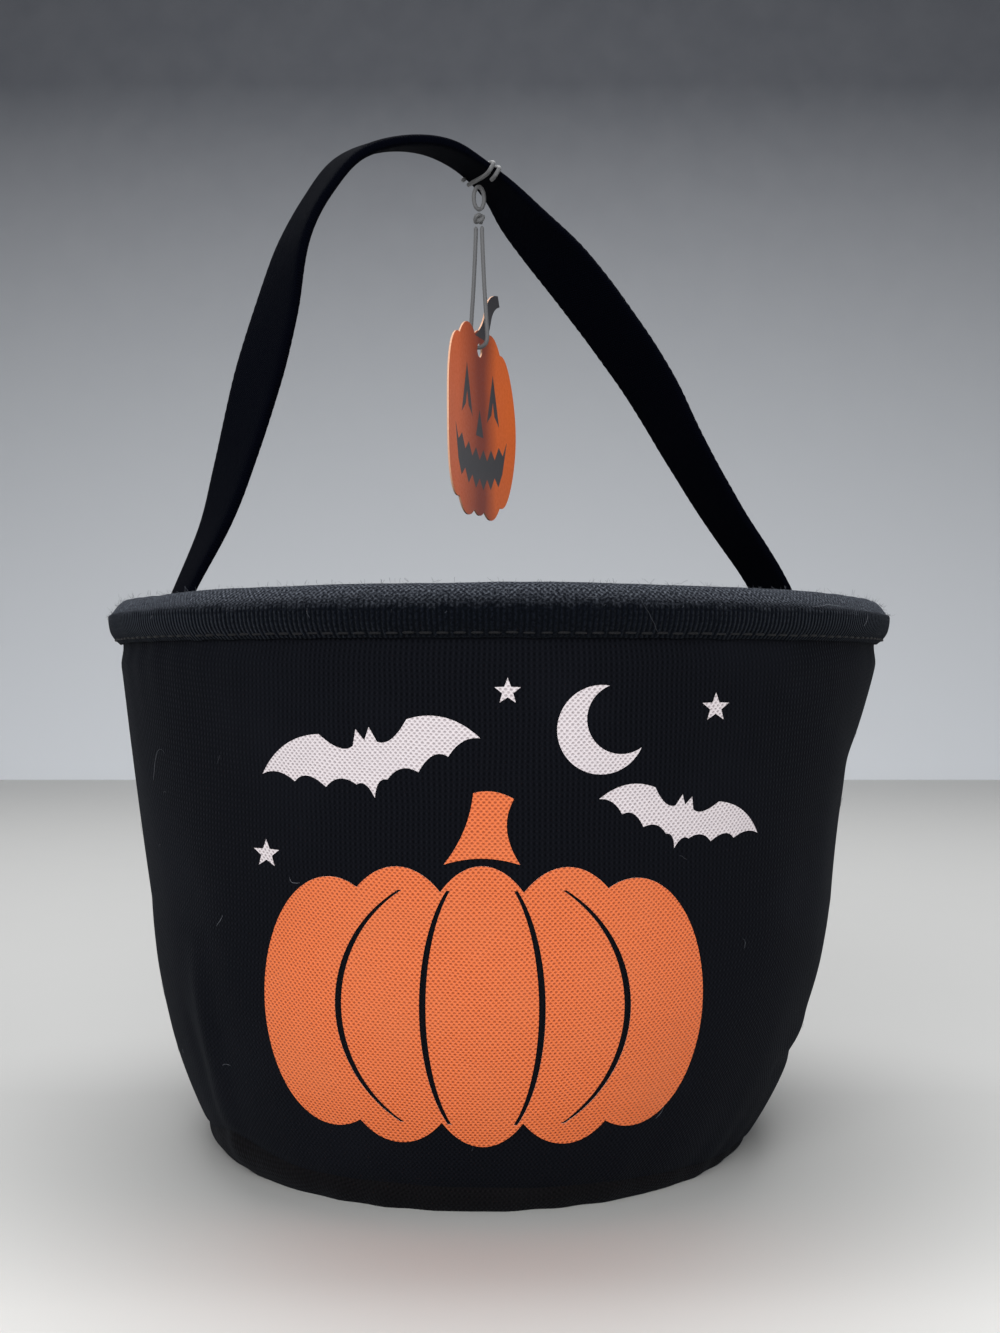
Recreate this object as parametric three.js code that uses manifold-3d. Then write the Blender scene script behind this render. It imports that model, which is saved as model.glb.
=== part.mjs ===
// A fabric halloween bucket: a canvas wall stiffened with felt, a hooped rim, a stiff base, one strap handle
// that stands up as a loop, a printed front, and a pumpkin-shaped hang tag on a string. Millimetres, +Z up,
// origin on the floor under the middle of the rim, print facing -Y.
import * as THREE from 'three';
import { mergeVertices } from 'three/addons/utils/BufferGeometryUtils.js';
import Module from 'manifold-3d';

const wasm = await Module();
wasm.setup();

// Driving dimensions of the bucket
const RIM_RADIUS = 115; // widest, at the hem
const RIM_TOP = 155.8; // height of the rim above the floor
const HEM_HEIGHT = 13.2; // from the stitched crease to the top of the rim
const HEM_WIDTH = 10.2; // from the outside of the fold to its inside
const HEM_CLOTH = 1.2; // the folded canvas of the hem
const HEM_OVERHANG = 4.4; // the fold stands this far out from the wall
const HOOP_DIAMETER = 6;
const HOOP_CLEARANCE = 0.5; // above and below the hoop, inside the fold
const HOOP_JOINER_LENGTH = 28; // the plug that closes the hoop at the back
const THREAD_DIAMETER = 0.7;
const SEAM_MARGIN = 5; // the back seam stops this far from the base seam and from the hem
const GAP = 0.3; // left between pieces that lie against each other
const LAYER_GAP = 0.6; // between the loose layers of the wall

// The wall: a straight taper that tucks in near the floor
const WALL_FOOT_RADIUS = 92.2; // of the straight taper, carried down to the floor
const BASE_TUCK = 15.6; // how far the foot is drawn in from that taper
const BASE_TUCK_HEIGHT = 55;
const CANVAS = 1.2;
const INTERLINING = 1;
const LINING = 0.6;

// How the soft wall has settled: the foot has slid to the left and the right side is pressed in
const FOOT_SLIDE = 9;
const FOOT_SLIDE_HEIGHT = 70;
const FOOT_SLIDE_POWER = 1.6;
const DENT_DEPTH = 6;
const DENT_HEIGHT = 92;
const DENT_RISE = 50;
const DENT_DROP = 75;
const DENT_HALF_ANGLE = THREE.MathUtils.degToRad(65);

// The base
const BASE_BAND_HEIGHT = 6; // the base cloth turns up this far to its seam
const BASE_BAND_SETBACK = 0.5; // the wall stands out over the band
const BASE_BAND_DRAW = 3.8; // the flat of the base is smaller than the seam by this
const BASE_BAND_CURVE = [[0.55, 0.18], [0.86, 0.5]]; // shares of the draw and of the height, flat to seam
const BOARD = 2;
const BOARD_CLEARANCE = 1.6; // round the board, inside the turned-up band

// The strap handle
const STRAP_WIDTH = 20;
const STRAP_THICKNESS = 2.5;
const HANDLE_TURN = THREE.MathUtils.degToRad(25); // from the front to the plane that the loop stands in
const HANDLE_RISE = 135.2; // from the rim to the highest point of the strap's middle line
const HINGE_ABOVE_RIM = 2.2; // the strap bends over this far above the rim
const TAB_LENGTH = 30; // sewn to the lining below the rim
const TAB_SEAM_LENGTH = 16; // the sewn box on a tab
const TAB_SEAM_MARGIN = 3.5; // from the box to the tab's edges
const TAB_CLEARANCE = 1.2; // behind a tab, where the soft lining bows in between its rows

// The string and the hang tag
const STRING_DIAMETER = 1.3;
const WRAPS = 2;
const WRAP_PITCH = 2.2;
const WRAP_SLACK = 0.7; // the strap curves and twists inside the turns
const WRAP_PLACE = 0.52; // along the strap, from the left end
const BIGHT_WIDTH = 3.4;
const BIGHT_LENGTH = 6.5;
const KNOT_DIAMETER = 4;
const BEAD_DIAMETER = 3;
const TAG_WIDTH = 60;
const TAG_HEIGHT = 57;
const TAG_THICKNESS = 0.5;
const TAG_CURL_RADIUS = 400;
const TAG_TURN = THREE.MathUtils.degToRad(71); // the card hangs nearly edge-on to the front
const TAG_HOLE_DIAMETER = 4.2;
const TAG_HOLE_BELOW_TOP = 6.5;
const TAG_STEM_HEIGHT = 13.5; // the card's stem, above the top of its pumpkin
const TAG_STEM_REACH = 17.5; // and how far it leans across from the hole
const STRING_DROP = 39.8; // from the knot's middle to the hole

// The heat-pressed film on the front
const FILM = 0.3;
const PUMPKIN = { across: -4, up: 54, width: 106, height: 70, rib: 1.6 };
const STEM = { height: 17, foot: 18, waist: 7, top: 9.5, lean: 2, hollow: 0.5 };
const BAT_LARGE = { across: -31, up: 115, span: 54, tilt: 10 };
const BAT_SMALL = { across: 44, up: 100, span: 42, tilt: -14 };
const MOON = { across: 24, up: 121, radius: 10.5, tilt: 28 };
const STAR_LEFT = { across: -57, up: 90, radius: 3.6 };
const STAR_MIDDLE = { across: 2, up: 130, radius: 3.2 };
const STAR_RIGHT = { across: 52, up: 126, radius: 3.6 };

const AROUND = 48; // facets around the bucket
const THREAD_SIDES = 5;
const STRING_SIDES = 6;

const hemBottom = RIM_TOP - HEM_HEIGHT;
const wallTopRadius = RIM_RADIUS - HEM_OVERHANG;
const wallLayers = CANVAS + LAYER_GAP + INTERLINING + LAYER_GAP + LINING;
const hemMiddle = RIM_RADIUS - HEM_WIDTH / 2;
const hoopRadius = HOOP_DIAMETER / 2;
const hoopHeight = RIM_TOP - HEM_CLOTH - HOOP_CLEARANCE - hoopRadius;
const wallTop = hoopHeight - hoopRadius - HOOP_CLEARANCE;
const tabFloor = hemMiddle - HEM_WIDTH / 2 - GAP - STRAP_THICKNESS / 2;
const hingeHeight = RIM_TOP + HINGE_ABOVE_RIM;
const tabTop = hingeHeight - STRAP_WIDTH / 2 - GAP;
const threadClear = (GAP + THREAD_DIAMETER / 2) * 1.2; // from a seam's cloth to the middle of its thread

const black = { color: 0x0b0c10, roughness: 0.92, metalness: 0 };
const liningCloth = { color: 0x141518, roughness: 0.92, metalness: 0 };
const thread = { color: 0x101116, roughness: 0.7, metalness: 0 };
const orange = { color: 0xe8713a, roughness: 0.55, metalness: 0 };
const offWhite = { color: 0xdfd6da, roughness: 0.6, metalness: 0 };
const cord = { color: 0xc9c7c4, roughness: 0.8, metalness: 0 };

const bucket = new THREE.Group();

function add(name, geometry, finish) {
  const mesh = new THREE.Mesh(geometry, new THREE.MeshStandardMaterial(finish));
  mesh.name = name;
  bucket.add(mesh);
  return mesh;
}

// Joining and cutting closed solids

function welded(geometry) {
  const bare = geometry.clone();
  bare.deleteAttribute('normal');
  bare.deleteAttribute('uv');
  return mergeVertices(bare, 1e-4);
}

function toManifold(geometry) {
  const bare = welded(geometry);
  return new wasm.Manifold(new wasm.Mesh({
    numProp: 3,
    vertProperties: new Float32Array(bare.attributes.position.array),
    triVerts: new Uint32Array(bare.index.array),
  }));
}

function fromManifold(solid) {
  const mesh = solid.getMesh();
  const geometry = new THREE.BufferGeometry();
  geometry.setAttribute('position', new THREE.BufferAttribute(new Float32Array(mesh.vertProperties), 3));
  geometry.setIndex(new THREE.BufferAttribute(new Uint32Array(mesh.triVerts), 1));
  return geometry;
}

function common(first, second) {
  return fromManifold(toManifold(first).intersect(toManifold(second)));
}

function joined(geometries) {
  return fromManifold(geometries.map(toManifold).reduce((sum, next) => sum.add(next)));
}

function cut(geometry, tool) {
  return fromManifold(toManifold(geometry).subtract(toManifold(tool)));
}

// Moves each vertex of a geometry: place(x, y, z) returns the new Vector3
function moved(geometry, place) {
  const position = geometry.attributes.position;
  for (let i = 0; i < position.count; i += 1) {
    const point = place(position.getX(i), position.getY(i), position.getZ(i));
    position.setXYZ(i, point.x, point.y, point.z);
  }
  return geometry;
}

// The settled wall

function wallRadius(height) {
  const taper = (wallTopRadius - WALL_FOOT_RADIUS) * (height / hemBottom);
  const tuck = BASE_TUCK * Math.max(0, 1 - height / BASE_TUCK_HEIGHT) ** 2;
  return WALL_FOOT_RADIUS + taper - tuck;
}

function footSlide(height) {
  return -FOOT_SLIDE * Math.max(0, 1 - height / FOOT_SLIDE_HEIGHT) ** FOOT_SLIDE_POWER;
}

function dent(angle, height) {
  const reach = height > DENT_HEIGHT ? DENT_RISE : DENT_DROP;
  const along = Math.max(0, 1 - ((height - DENT_HEIGHT) / reach) ** 2) ** 2;
  const turned = Math.min(1, Math.abs(angle) / DENT_HALF_ANGLE);
  return DENT_DEPTH * along * Math.cos(turned * Math.PI / 2) ** 2;
}

// A point of the settled wall, or of a layer that lies inset from its outside
function onWall(angle, height, inset) {
  const radius = wallRadius(height) - inset - dent(angle, height);
  return new THREE.Vector3(radius * Math.cos(angle) + footSlide(height), radius * Math.sin(angle), height);
}

// Turns a closed outline of [radius, height] points about the bucket's axis, with a vertex line at the front
function turned(outline) {
  const points = [...outline, outline[0]].map(([radius, height]) => new THREE.Vector2(radius, height));
  return new THREE.LatheGeometry(points, AROUND).rotateX(Math.PI / 2);
}

function settled(geometry) {
  return moved(geometry, (x, y, z) => {
    const angle = Math.atan2(y, x);
    const radius = Math.hypot(x, y) - dent(angle, z);
    return new THREE.Vector3(radius * Math.cos(angle) + footSlide(z), radius * Math.sin(angle), z);
  });
}

// A layer of the wall between two insets, from one height to another
function wallLayer(nearInset, farInset, bottom, top) {
  const tuckRows = [0.25, 0.48, 0.8].map((share) => share * BASE_TUCK_HEIGHT);
  const dentRows = [-0.35 * DENT_DROP, 0, 0.52 * DENT_RISE, DENT_RISE].map((rise) => DENT_HEIGHT + rise);
  const margin = 3;
  const rows = [...tuckRows, ...dentRows].sort((low, high) => low - high);
  const between = rows.filter((height) => height > bottom + margin && height < top - margin);
  const heights = [bottom, ...between, top];
  const outside = heights.map((height) => [wallRadius(height) - nearInset, height]);
  const inside = heights.map((height) => [wallRadius(height) - farInset, height]).reverse();
  return settled(turned([...outside, ...inside]));
}

// A ring of round cord or wire about the bucket's axis
function hoopRing(radius, height, thickness, sides) {
  const outline = [];
  for (let i = 0; i < sides; i += 1) {
    const angle = (i + 0.5) * 2 * Math.PI / sides;
    outline.push([radius + thickness / 2 * Math.cos(angle), height + thickness / 2 * Math.sin(angle)]);
  }
  return turned(outline);
}

// A round tube along a curve, closed at both ends
function tube(curve, diameter, sides, steps) {
  const section = new THREE.Shape();
  for (let i = 0; i < sides; i += 1) {
    const angle = i * 2 * Math.PI / sides;
    const x = diameter / 2 * Math.cos(angle);
    const y = diameter / 2 * Math.sin(angle);
    if (i === 0) section.moveTo(x, y);
    else section.lineTo(x, y);
  }
  section.closePath();
  return new THREE.ExtrudeGeometry(section, { steps, extrudePath: curve, bevelEnabled: false });
}

function smooth(points) {
  return new THREE.CatmullRomCurve3(points, false, 'centripetal');
}

// Wall, linings and base

function addWall() {
  const seam = BASE_BAND_HEIGHT + GAP;
  add('outer_wall', wallLayer(0, CANVAS, seam, wallTop), black);
  const liningBottom = CANVAS + GAP + BOARD + GAP + LINING + GAP;
  const felt = CANVAS + LAYER_GAP;
  add('wall_interlining', wallLayer(felt, felt + INTERLINING, seam, wallTop), { ...black, color: 0x2a2a2c });
  const lining = felt + INTERLINING + LAYER_GAP;
  add('wall_lining', wallLayer(lining, lining + LINING, liningBottom, wallTop), liningCloth);
}

function addBase() {
  const seamRadius = wallRadius(BASE_BAND_HEIGHT) - BASE_BAND_SETBACK;
  const flatRadius = seamRadius - BASE_BAND_DRAW;
  const outside = BASE_BAND_CURVE.map(([out, up]) => (
    [flatRadius + BASE_BAND_DRAW * out, BASE_BAND_HEIGHT * up]
  ));
  const [shoulderRadius, shoulderHeight] = outside[1];
  const band = [
    [flatRadius, 0], ...outside, [seamRadius, BASE_BAND_HEIGHT],
    [seamRadius - CANVAS, BASE_BAND_HEIGHT], [shoulderRadius - CANVAS, shoulderHeight],
    [flatRadius - GAP, CANVAS],
  ];
  add('outer_base', settled(turned([[0, 0], ...band, [0, CANVAS]])), black);
  const boardRadius = flatRadius - BOARD_CLEARANCE;
  const boardBottom = CANVAS + GAP;
  const greyBoard = { color: 0x8a7a62, roughness: 0.9, metalness: 0 };
  add('base_board', settled(disc(boardRadius, boardBottom, BOARD)), greyBoard);
  const liningBottom = boardBottom + BOARD + GAP;
  const liningRadius = flatRadius - GAP;
  add('base_lining', settled(disc(liningRadius, liningBottom, LINING)), liningCloth);
}

function disc(radius, bottom, thickness) {
  return turned([[0, bottom], [radius, bottom], [radius, bottom + thickness], [0, bottom + thickness]]);
}

// Rim: the hoop, the canvas folded over it, and the thread that holds the fold

function hemFold(inset) {
  const wide = HEM_WIDTH / 2 - inset;
  const top = RIM_TOP - inset;
  const middle = RIM_TOP - HEM_HEIGHT * 0.47;
  const fold = [];
  for (const degrees of [-32, 14, 52, 90, 128, 166, 212]) {
    const angle = THREE.MathUtils.degToRad(degrees);
    fold.push([hemMiddle + wide * Math.cos(angle), middle + (top - middle) * Math.sin(angle)]);
  }
  const outsideFoot = wallTopRadius + GAP + HEM_CLOTH - inset;
  const insideFoot = wallTopRadius - wallLayers - GAP - HEM_CLOTH + inset;
  return [[outsideFoot, hemBottom], ...fold, [insideFoot, hemBottom]];
}

function addRim() {
  const fold = [...hemFold(0), ...hemFold(HEM_CLOTH).reverse()];
  add('rim_hem', turned(fold), black);

  const ring = hoopRing(hemMiddle, hoopHeight, HOOP_DIAMETER, 8);
  const plug = new THREE.BoxGeometry(HOOP_JOINER_LENGTH, 4 * HOOP_DIAMETER, 4 * HOOP_DIAMETER);
  plug.translate(0, hemMiddle, hoopHeight);
  const opening = new THREE.BoxGeometry(HOOP_JOINER_LENGTH + 2 * GAP, 4 * HOOP_DIAMETER, 4 * HOOP_DIAMETER);
  opening.translate(0, hemMiddle, hoopHeight);
  const plastic = { color: 0xb8b4a8, roughness: 0.5, metalness: 0 };
  add('rim_hoop', cut(ring, opening), plastic);
  add('hoop_joiner', common(ring, plug), plastic);

  const outer = hemFold(0);
  const seat = new THREE.Vector2(...outer[0]).lerp(new THREE.Vector2(...outer[1]), 0.42);
  add('hem_stitching', hoopRing(seat.x + threadClear, seat.y, THREAD_DIAMETER, THREAD_SIDES), thread);
}

// The seam that closes the wall into a ring runs up the back
function addBackSeam() {
  const bottom = BASE_BAND_HEIGHT + SEAM_MARGIN;
  const top = hemBottom - SEAM_MARGIN;
  const points = [];
  const rows = 9;
  for (let i = 0; i <= rows; i += 1) {
    points.push(onWall(Math.PI / 2, bottom + (top - bottom) * i / rows, -threadClear));
  }
  add('back_seam_stitching', tube(smooth(points), THREAD_DIAMETER, THREAD_SIDES, 2 * rows), thread);
}

// Strap: two tabs sewn inside the rim, and the loop that bends over above them

// A place on a sewn tab: across its width, out towards the wall, and up
function onTab(side, across, out, height) {
  const direction = side > 0 ? HANDLE_TURN : HANDLE_TURN - Math.PI;
  const lining = wallRadius(height) - dent(direction, height) - wallLayers;
  const radius = Math.min(lining - TAB_CLEARANCE - STRAP_THICKNESS / 2, tabFloor) + out;
  const angle = direction + across / radius;
  return new THREE.Vector3(radius * Math.cos(angle), radius * Math.sin(angle), height);
}

function addTab(name, side) {
  const middle = tabTop - TAB_LENGTH / 2;
  const blank = new THREE.BoxGeometry(STRAP_WIDTH, STRAP_THICKNESS, TAB_LENGTH, 4, 1, 5);
  add(`strap_tab_${name}`, moved(blank, (x, y, z) => onTab(side, -x, y, middle + z)), black);

  const inside = -STRAP_THICKNESS / 2 - threadClear;
  const wide = STRAP_WIDTH / 2 - TAB_SEAM_MARGIN;
  const low = tabTop - TAB_LENGTH + TAB_SEAM_MARGIN;
  const high = low + TAB_SEAM_LENGTH;
  const half = (low + high) / 2;
  const ends = 2 * THREAD_DIAMETER; // the thread starts and stops this far from the last corner
  const box = [
    [-wide, low + ends], [-wide, half], [-wide, high], [0, high], [wide, high],
    [wide, half], [wide, low], [0, low], [-wide + ends, low],
  ];
  const points = box.map(([across, height]) => onTab(side, across, inside, height));
  add(`tab_stitching_${name}`, tube(smooth(points), THREAD_DIAMETER, THREAD_SIDES, 32), thread);
}

// The loop's middle line, from its left end: [share of the half span, share of the rise, twist in degrees]
const STRAP_LINE = [
  [-0.932, 0.013, 0], [-0.846, 0.149, 6], [-0.793, 0.279, 15], [-0.735, 0.442, 25], [-0.682, 0.593, 21],
  [-0.628, 0.752, 6], [-0.566, 0.866, 2], [-0.462, 0.957, 3], [-0.318, 1, 6], [-0.174, 0.996, 10],
  [-0.024, 0.937, 9], [0.077, 0.863, -10], [0.222, 0.765, -26], [0.358, 0.657, -26], [0.508, 0.521, -21],
  [0.639, 0.371, -10], [0.779, 0.223, -5], [0.935, 0.076, -3], [0.985, 0.013, 0],
];

const strapTip = hingeHeight - STRAP_WIDTH / 2;
const acrossBucket = new THREE.Vector3(Math.cos(HANDLE_TURN), Math.sin(HANDLE_TURN), 0);
const throughLoop = new THREE.Vector3(-Math.sin(HANDLE_TURN), Math.cos(HANDLE_TURN), 0);

function onLoop(share, height) {
  return acrossBucket.clone().multiplyScalar(share * tabFloor).setZ(height);
}

const strapStops = [
  { point: onLoop(-0.976, strapTip), twist: 0 },
  ...STRAP_LINE.map(([share, rise, twist]) => (
    { point: onLoop(share, RIM_TOP + HANDLE_RISE * rise), twist }
  )),
  { point: onLoop(0.997, strapTip), twist: 0 },
];
const strapCurve = smooth(strapStops.map((stop) => stop.point));
strapCurve.arcLengthDivisions = 400;
const strapLength = strapCurve.getLength();

// The strap's own directions at a share of its length
function strapFrame(share) {
  const at = strapCurve.getUtoTmapping(share);
  const along = strapCurve.getTangent(at);
  const up = acrossBucket.clone().multiplyScalar(-along.z).setZ(along.dot(acrossBucket)).normalize();
  const place = Math.min(at * (strapStops.length - 1), strapStops.length - 1.0001);
  const stop = Math.floor(place);
  const degrees = THREE.MathUtils.lerp(strapStops[stop].twist, strapStops[stop + 1].twist, place - stop);
  const twist = THREE.MathUtils.degToRad(degrees);
  const width = throughLoop.clone().multiplyScalar(Math.cos(twist)).addScaledVector(up, Math.sin(twist));
  const face = up.clone().multiplyScalar(Math.cos(twist)).addScaledVector(throughLoop, -Math.sin(twist));
  return { middle: strapCurve.getPoint(at), along, width, face };
}

// A place beside the strap: a share of its length, then how far along, across and out of its face
function besideStrap(share, along, across, out) {
  const frame = strapFrame(share);
  return frame.middle.clone()
    .addScaledVector(frame.along, along)
    .addScaledVector(frame.width, across)
    .addScaledVector(frame.face, out);
}

function addStrap() {
  const half = STRAP_WIDTH / 2;
  const roundSteps = 5;
  const steps = 46;
  const tipHalfWidth = 1.2;
  const bothSides = 2; // the blank's width, as shares of the half width from -1 to 1
  const blank = new THREE.BoxGeometry(bothSides, STRAP_THICKNESS, steps, 2, 1, steps);
  // The ends are half rounds about the points where the strap bends, so they turn clear of the tabs
  const distance = (step) => {
    const fromEnd = Math.min(step, steps - step);
    const rounded = half * (1 - Math.cos(Math.PI / 2 * fromEnd / roundSteps));
    const straight = half + (strapLength / 2 - half) * (fromEnd - roundSteps) / (steps / 2 - roundSteps);
    const run = fromEnd < roundSteps ? rounded : straight;
    return step < steps / 2 ? run : strapLength - run;
  };
  const strap = moved(blank, (x, y, z) => {
    const run = distance(z + steps / 2);
    const fromTip = Math.min(half, run, strapLength - run);
    const halfWidth = Math.max(tipHalfWidth, Math.sqrt(half ** 2 - (half - fromTip) ** 2));
    return besideStrap(run / strapLength, 0, x * halfWidth, y);
  });
  add('handle_strap', strap, black);
}

// String: wound round the strap, a small bight under it, a knot, and the loop that carries the tag

const wrapClear = GAP + STRING_DIAMETER / 2;

function windingPoints() {
  const wide = STRAP_WIDTH / 2 + wrapClear + WRAP_SLACK;
  const deep = STRAP_THICKNESS / 2 + wrapClear + WRAP_SLACK;
  const perTurn = 24;
  const points = [];
  const tail = STRING_DIAMETER;
  const start = 0.06; // of a turn, so that the two ends don't meet under the strap
  const last = Math.round((WRAPS - 2 * start) * perTurn);
  const corner = (value) => Math.sign(value) * Math.abs(value) ** 0.5;
  for (let i = 0; i <= last; i += 1) {
    const turn = start + i / perTurn;
    const angle = turn * 2 * Math.PI - Math.PI / 2;
    const along = (turn / WRAPS - 0.5) * WRAPS * WRAP_PITCH;
    const across = wide * corner(Math.cos(angle));
    const out = deep * corner(Math.sin(angle));
    points.push(besideStrap(WRAP_PLACE, along, across, out));
  }
  const lead = (point) => point.clone().addScaledVector(strapFrame(WRAP_PLACE).face, -tail);
  return [lead(points[0]), ...points, lead(points[points.length - 1])];
}

// The least distance between stretches of a tube that are more than a few diameters apart along it
function leastSelfGap(curve, diameter) {
  const samples = curve.getSpacedPoints(400);
  const step = curve.getLength() / 400;
  let least = Infinity;
  for (let i = 0; i < samples.length; i += 1) {
    for (let j = i + Math.ceil(3 * diameter / step); j < samples.length; j += 1) {
      least = Math.min(least, samples[i].distanceTo(samples[j]) - diameter);
    }
  }
  return least;
}

const underStrap = besideStrap(WRAP_PLACE, 0, 0, -STRAP_THICKNESS / 2);
const bightArc = BIGHT_WIDTH / 2;

function below(point, drop) {
  return point.clone().setZ(point.z - drop);
}

const bightTop = below(underStrap, 2 * wrapClear + WRAP_SLACK / 2 + STRING_DIAMETER / 2);
const knotPivot = below(bightTop, BIGHT_LENGTH - bightArc);
const knotMiddle = below(knotPivot, bightArc + STRING_DIAMETER / 2 + GAP + KNOT_DIAMETER / 2);
const tagHole = below(knotMiddle, STRING_DROP);
const tagFace = new THREE.Vector3(Math.sin(TAG_TURN), -Math.cos(TAG_TURN), 0);

function addString() {
  const winding = smooth(windingPoints());
  console.log(`string_winding: least gap to itself ${leastSelfGap(winding, STRING_DIAMETER).toFixed(2)} mm`);
  add('string_winding', tube(winding, STRING_DIAMETER, STRING_SIDES, 24 * WRAPS + 4), cord);

  const bead = new THREE.IcosahedronGeometry(BEAD_DIAMETER / 2, 1);
  const beadPlace = besideStrap(
    WRAP_PLACE, WRAPS * WRAP_PITCH / 2 + BEAD_DIAMETER / 2 + GAP, STRAP_WIDTH * 0.3,
    STRAP_THICKNESS / 2 + BEAD_DIAMETER / 2,
  );
  bead.translate(beadPlace.x, beadPlace.y, beadPlace.z);
  add('string_bead', bead, { color: 0x1e4a44, roughness: 0.2, metalness: 0 });

  const bight = [];
  for (let i = 0; i < 12; i += 1) {
    const angle = i * Math.PI / 6;
    const drop = BIGHT_LENGTH / 2 * (1 - Math.cos(angle));
    bight.push(below(bightTop, drop).addScaledVector(acrossBucket, bightArc * Math.sin(angle)));
  }
  const ring = new THREE.CatmullRomCurve3(bight, true, 'centripetal');
  add('string_bight', new THREE.TubeGeometry(ring, 20, STRING_DIAMETER / 2, STRING_SIDES, true), cord);

  const knot = new THREE.IcosahedronGeometry(KNOT_DIAMETER / 2, 1);
  knot.translate(knotMiddle.x, knotMiddle.y, knotMiddle.z);
  add('string_knot', knot, cord);
}

// The loop's route, as [out of the tag's face, down from the knot's middle]: down behind the card, through
// its hole and up in front of it
const LOOP_ROUTE = [
  [-1, 2.25], [-1, 4.5], [-1.15, 8.5], [-1.4, 14], [-1.65, 19], [-1.95, 24], [-2.3, 29], [-2.55, 33.1],
  [-2.65, 36.3], [-2.3, 37.65], [-1.3, 38.6], [0, 38.95], [1.3, 38.6], [2.3, 37.65], [2.65, 36.3],
  [2.55, 33.1], [2.3, 29], [1.95, 24], [1.65, 19], [1.4, 14], [1.15, 8.5], [1, 4.5], [1, 2.25],
];

function addLoop() {
  const route = LOOP_ROUTE.map(([out, down]) => below(knotMiddle, down).addScaledVector(tagFace, out));
  const curve = smooth(route);
  console.log(`string_loop: length ${curve.getLength().toFixed(1)} mm`);
  add('string_loop', tube(curve, STRING_DIAMETER, 8, 30), cord);
}

// Outlines are drawn in the plane of the front view: x to the right, y up

function ellipseShape(x, y, halfWidth, halfHeight) {
  return new THREE.Shape().absellipse(x, y, halfWidth, halfHeight, 0, 2 * Math.PI, false, 0);
}

// Pushes an outline through from the middle of the bucket to the front
function pushedForward(shape, curveSegments = 6) {
  const through = { depth: RIM_RADIUS + HEM_WIDTH, bevelEnabled: false, curveSegments };
  return new THREE.ExtrudeGeometry(shape, through).rotateX(Math.PI / 2);
}

// The lobes of a pumpkin: [place from its middle, half width, half height], as shares of the pumpkin's own
const PRINT_LOBES = [
  [0, 0.324, 1], [-0.38, 0.346, 0.99], [0.38, 0.346, 0.99], [-0.69, 0.335, 0.9], [0.69, 0.335, 0.9],
];
const TAG_LOBES = [
  [0, 0.43, 0.98], [-0.33, 0.49, 1], [0.33, 0.49, 1], [-0.64, 0.365, 0.84], [0.64, 0.365, 0.84],
];

function pumpkinLobes(lobes, across, up, width, height) {
  return lobes.map(([place, wide, tall]) => (
    ellipseShape(across + place * width / 2, up, wide * width / 2, tall * height / 2)
  ));
}

// A narrow curved slot between two lobes
function ribSlot(halfWidth) {
  const reach = 0.98;
  const tall = PUMPKIN.height / 2;
  const side = Math.sign(halfWidth);
  const wide = Math.abs(halfWidth);
  const turn = side > 0 ? 0 : Math.PI;
  const { across, up, rib } = PUMPKIN;
  const shape = new THREE.Shape();
  shape.absellipse(across, up, wide + rib / 2, tall, turn - reach, turn + reach, false, 0);
  shape.absellipse(across, up, wide - rib / 2, tall, turn + reach, turn - reach, true, 0);
  shape.closePath();
  return shape;
}

// A bat seen from the front with spread wings, in shares of half its span; the right half is mirrored
const BAT_HALF = [
  [[0.06, 0.24]], [[0.11, 0.1]], [[0.22, 0.03], [0.4, 0.25]], [[0.76, 0.3], [1, -0.02]],
  [[0.84, 0.03], [0.7, -0.13]], [[0.58, -0.02], [0.42, -0.22]], [[0.28, -0.1], [0.14, -0.24]],
  [[0.05, -0.2], [0, -0.38]],
];

function batShape(bat) {
  const half = bat.span / 2;
  const tilt = THREE.MathUtils.degToRad(bat.tilt);
  const put = ([x, y], mirror) => [
    bat.across + half * (mirror * x * Math.cos(tilt) - y * Math.sin(tilt)),
    bat.up + half * (mirror * x * Math.sin(tilt) + y * Math.cos(tilt)),
  ];
  const crown = [0, 0.13];
  const shape = new THREE.Shape();
  shape.moveTo(...put(crown, 1));
  for (const stretch of BAT_HALF) {
    const points = stretch.map((point) => put(point, 1));
    if (points.length === 1) shape.lineTo(...points[0]);
    else shape.quadraticCurveTo(...points[0], ...points[1]);
  }
  for (let i = BAT_HALF.length - 1; i >= 0; i -= 1) {
    const end = i > 0 ? BAT_HALF[i - 1].at(-1) : crown;
    if (BAT_HALF[i].length === 1) shape.lineTo(...put(end, -1));
    else shape.quadraticCurveTo(...put(BAT_HALF[i][0], -1), ...put(end, -1));
  }
  return shape;
}

function moonShape() {
  const horn = THREE.MathUtils.degToRad(52);
  const tilt = THREE.MathUtils.degToRad(MOON.tilt);
  const shift = 0.52 * MOON.radius;
  const hornX = MOON.radius * Math.cos(horn) - shift;
  const hornY = MOON.radius * Math.sin(horn);
  const bite = Math.hypot(hornX, hornY);
  const open = Math.atan2(hornY, hornX);
  const shape = new THREE.Shape();
  shape.absarc(MOON.across, MOON.up, MOON.radius, tilt + horn, tilt + 2 * Math.PI - horn, false);
  const biteX = MOON.across + shift * Math.cos(tilt);
  const biteY = MOON.up + shift * Math.sin(tilt);
  shape.absarc(biteX, biteY, bite, tilt - open, tilt + open, true);
  return shape;
}

function starShape(star) {
  const shape = new THREE.Shape();
  for (let i = 0; i < 10; i += 1) {
    const radius = i % 2 === 0 ? star.radius : star.radius * 0.42;
    const angle = Math.PI / 2 + i * Math.PI / 5;
    const x = star.across + radius * Math.cos(angle);
    const y = star.up + radius * Math.sin(angle);
    if (i === 0) shape.moveTo(x, y);
    else shape.lineTo(x, y);
  }
  shape.closePath();
  return shape;
}

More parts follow.
